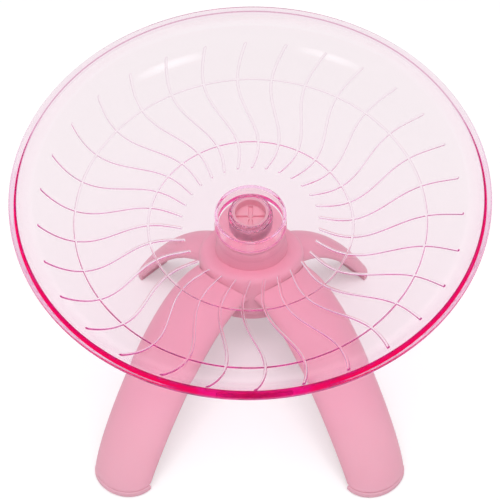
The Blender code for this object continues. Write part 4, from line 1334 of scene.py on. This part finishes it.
class WHEEL_OT_stage(Operator):
    """Makes the floor, the surroundings, the lamps and the camera"""

    bl_idname = "wheel.stage"
    bl_label = "Stage"

    def execute(self, context):
        self.make_floor(context)
        self.make_world(context)
        self.make_lamps(context)
        self.make_camera(context)
        scene = context.scene
        scene.view_settings.view_transform = "Standard"
        for limit in ("max", "transmission", "glossy", "transparent_max"):
            setattr(scene.cycles, limit + "_bounces", GLASS_BOUNCES)
        return {"FINISHED"}

    def make_floor(self, context):
        """A wide round floor. Cameras, mirrors and glass see part of it lit from itself, so that it renders
        white and still keeps the shadow."""
        around = np.linspace(0, TURN, FLOOR_COLUMNS, endpoint=False)
        rings = polar(FLOOR_RADII[:, None], around, FLOOR_DROP)
        points = rings.reshape(-1, 3).tolist() + [[0.0, 0.0, FLOOR_DROP]]
        quads = grid_quads(*rings.shape[:2])[:, ::-1]
        disc = fan(np.arange(FLOOR_COLUMNS), len(points) - 1)
        mesh = bpy.data.meshes.new("floor")
        mesh.from_pydata(points, [], quads.tolist() + disc.tolist())
        floor = bpy.data.objects.new("floor", mesh)
        context.scene.collection.objects.link(floor)
        material, tree = new_material("floor_white")
        path = add(tree, "LightPath")
        camera_ray = path, "Is Camera Ray"
        seen = worked_out(tree, "MAXIMUM", camera_ray, (path, "Is Glossy Ray"))
        seen = worked_out(tree, "MAXIMUM", seen, (path, "Is Transmission Ray"))
        extra = worked_out(tree, "MULTIPLY", camera_ray, FLOOR_GLOW - GLASS_GLOW)
        level = worked_out(tree, "MULTIPLY_ADD", seen, GLASS_GLOW, extra)
        matt = add(tree, "BsdfDiffuse", {"Color": opaque(WHITE, FLOOR_WHITE)}), "BSDF"
        glow = add(tree, "Emission", {"Strength": level}), "Emission"
        both = add(tree, "AddShader", {0: matt, 1: glow}), "Shader"
        add(tree, "OutputMaterial", {"Surface": both})
        mesh.materials.append(material)

    def make_world(self, context):
        """White where a camera looks, a studio with a darker band above the horizon in glass and gloss, and
        an even light for everything else."""
        world = bpy.data.worlds.new("studio")
        context.scene.world = world
        world.use_nodes = True
        tree = world.node_tree
        tree.nodes.clear()
        split = add(tree, "SeparateXYZ", {"Vector": (add(tree, "TexCoord"), "Generated")})
        path = add(tree, "LightPath")
        seen = background(tree, WORLD_GLOW)
        for ray, other in (
            ("Is Glossy Ray", banded_background(tree, split, CEILING_LEVELS)),
            ("Is Transmission Ray", banded_background(tree, split, HORIZON_LEVELS)),
            ("Is Camera Ray", background(tree, 1.0)),
        ):
            seen = add(tree, "MixShader", {0: (path, ray), 1: seen, 2: other}), "Shader"
        add(tree, "OutputWorld", {"Surface": seen})

    def make_lamps(self, context):
        """Soft boxes: one overhead, and two in front whose mirrors lie on the far wall of the dish."""
        for name, spot, size, power, mirrored in SOFT_BOXES:
            light = bpy.data.lights.new(name, "AREA")
            light.shape = "RECTANGLE"
            light.size, light.size_y = size
            light.energy = power
            lamp = bpy.data.objects.new(name, light)
            context.scene.collection.objects.link(lamp)
            lamp.location = spot
            aim = Vector(LAMP_AIM) - Vector(spot)
            lamp.rotation_euler = aim.to_track_quat("-Z", "Y").to_euler()
            if mirrored:
                soften_edges(light)
            lamp.visible_glossy = mirrored
            lamp.visible_transmission = mirrored

    def make_camera(self, context):
        """The camera, by its aim, distance, direction and roll."""
        data = bpy.data.cameras.new("camera")
        data.lens = CAMERA_LENS
        data.sensor_width = SENSOR_WIDTH
        camera = bpy.data.objects.new("camera", data)
        context.scene.collection.objects.link(camera)
        a, e = CAMERA_AZIMUTH, CAMERA_ELEVATION
        back = Vector((math.sin(a) * math.cos(e), -math.cos(a) * math.cos(e), math.sin(e)))
        camera.location = Vector(CAMERA_AIM) + CAMERA_DISTANCE * back
        level = (-back).to_track_quat("-Z", "Y")
        camera.rotation_euler = (level @ Quaternion((0.0, 0.0, 1.0), CAMERA_ROLL)).to_euler()
        context.scene.camera = camera


def soften_edges(light):
    """Makes a soft box brightest in its middle: its strength is its peak times 4 u (1 - u) times 4 v (1 - v),
    where u and v run across its face. The peak of 9 / 4 keeps its power."""
    light.use_nodes = True
    tree = light.node_tree
    tree.nodes.clear()
    split = add(tree, "SeparateXYZ", {"Vector": (add(tree, "NewGeometry"), "Parametric")})
    level = LAMP_PEAK * 4 * 4
    for axis in "XY":
        other = worked_out(tree, "SUBTRACT", 1.0, (split, axis))
        hump = worked_out(tree, "MULTIPLY", (split, axis), other)
        level = worked_out(tree, "MULTIPLY", level, hump)
    glow = add(tree, "Emission", {"Strength": level}), "Emission"
    add(tree, "OutputLight", {"Surface": glow})


def background(tree, level):
    """An even background."""
    return add(tree, "Background", {"Color": opaque(WHITE), "Strength": level}), "Background"


def banded_background(tree, split, levels):
    """A background whose grey level follows the height of the direction, from the horizon to overhead."""
    ramp = add(tree, "ValToRGB", {"Fac": (split, "Z")})
    stops = ramp.color_ramp.elements
    for position, level in levels:
        stop = stops[0] if position == 0.0 else stops[-1] if position == 1.0 else stops.new(position)
        stop.color = opaque(WHITE, level)
    return add(tree, "Background", {"Color": (ramp, "Color")}), "Background"


# Sidebar and registration


class WHEEL_PT_sidebar(Panel):
    """Lists the pieces of the wheel"""

    bl_idname = "WHEEL_PT_sidebar"
    bl_label = "Exercise wheel"
    bl_space_type = "VIEW_3D"
    bl_region_type = "UI"
    bl_category = "Wheel"

    def draw(self, context):
        for operator in OPERATORS:
            self.layout.operator(operator.bl_idname)
        for name in SETTINGS:
            box = self.layout.box()
            group = getattr(context.scene, name)
            box.label(text=name.replace("wheel_", "").replace("_", " ").title())
            for prop in group.__annotations__:
                box.prop(group, prop)


OPERATORS = (
    WHEEL_OT_dish,
    WHEEL_OT_spindle,
    WHEEL_OT_bearing,
    WHEEL_OT_hub,
    WHEEL_OT_legs,
    WHEEL_OT_pads,
    WHEEL_OT_screws,
    WHEEL_OT_stage,
)
SETTINGS = {
    "wheel_dish": WheelDishSizes,
    "wheel_hub": WheelHubSizes,
    "wheel_legs": WheelLegSizes,
    "wheel_front_leg": WheelFrontLeg,
    "wheel_rear_leg": WheelRearLeg,
    "wheel_colours": WheelColours,
}


def register():
    """Registers the settings, the operators and the sidebar."""
    for group in (*SETTINGS.values(), *OPERATORS, WHEEL_PT_sidebar):
        bpy.utils.register_class(group)
    for name, group in SETTINGS.items():
        setattr(bpy.types.Scene, name, PointerProperty(type=group))


def unregister():
    """Takes them all away again."""
    for name in SETTINGS:
        delattr(bpy.types.Scene, name)
    for group in (WHEEL_PT_sidebar, *reversed(OPERATORS), *reversed(SETTINGS.values())):
        bpy.utils.unregister_class(group)


def main():
    """Makes the wheel and its stage."""
    register()
    bpy.ops.wheel.dish()
    bpy.ops.wheel.spindle()
    bpy.ops.wheel.bearing()
    bpy.ops.wheel.hub()
    bpy.ops.wheel.legs()
    bpy.ops.wheel.pads()
    bpy.ops.wheel.screws()
    bpy.ops.wheel.stage()


if __name__ == "__main__":
    main()
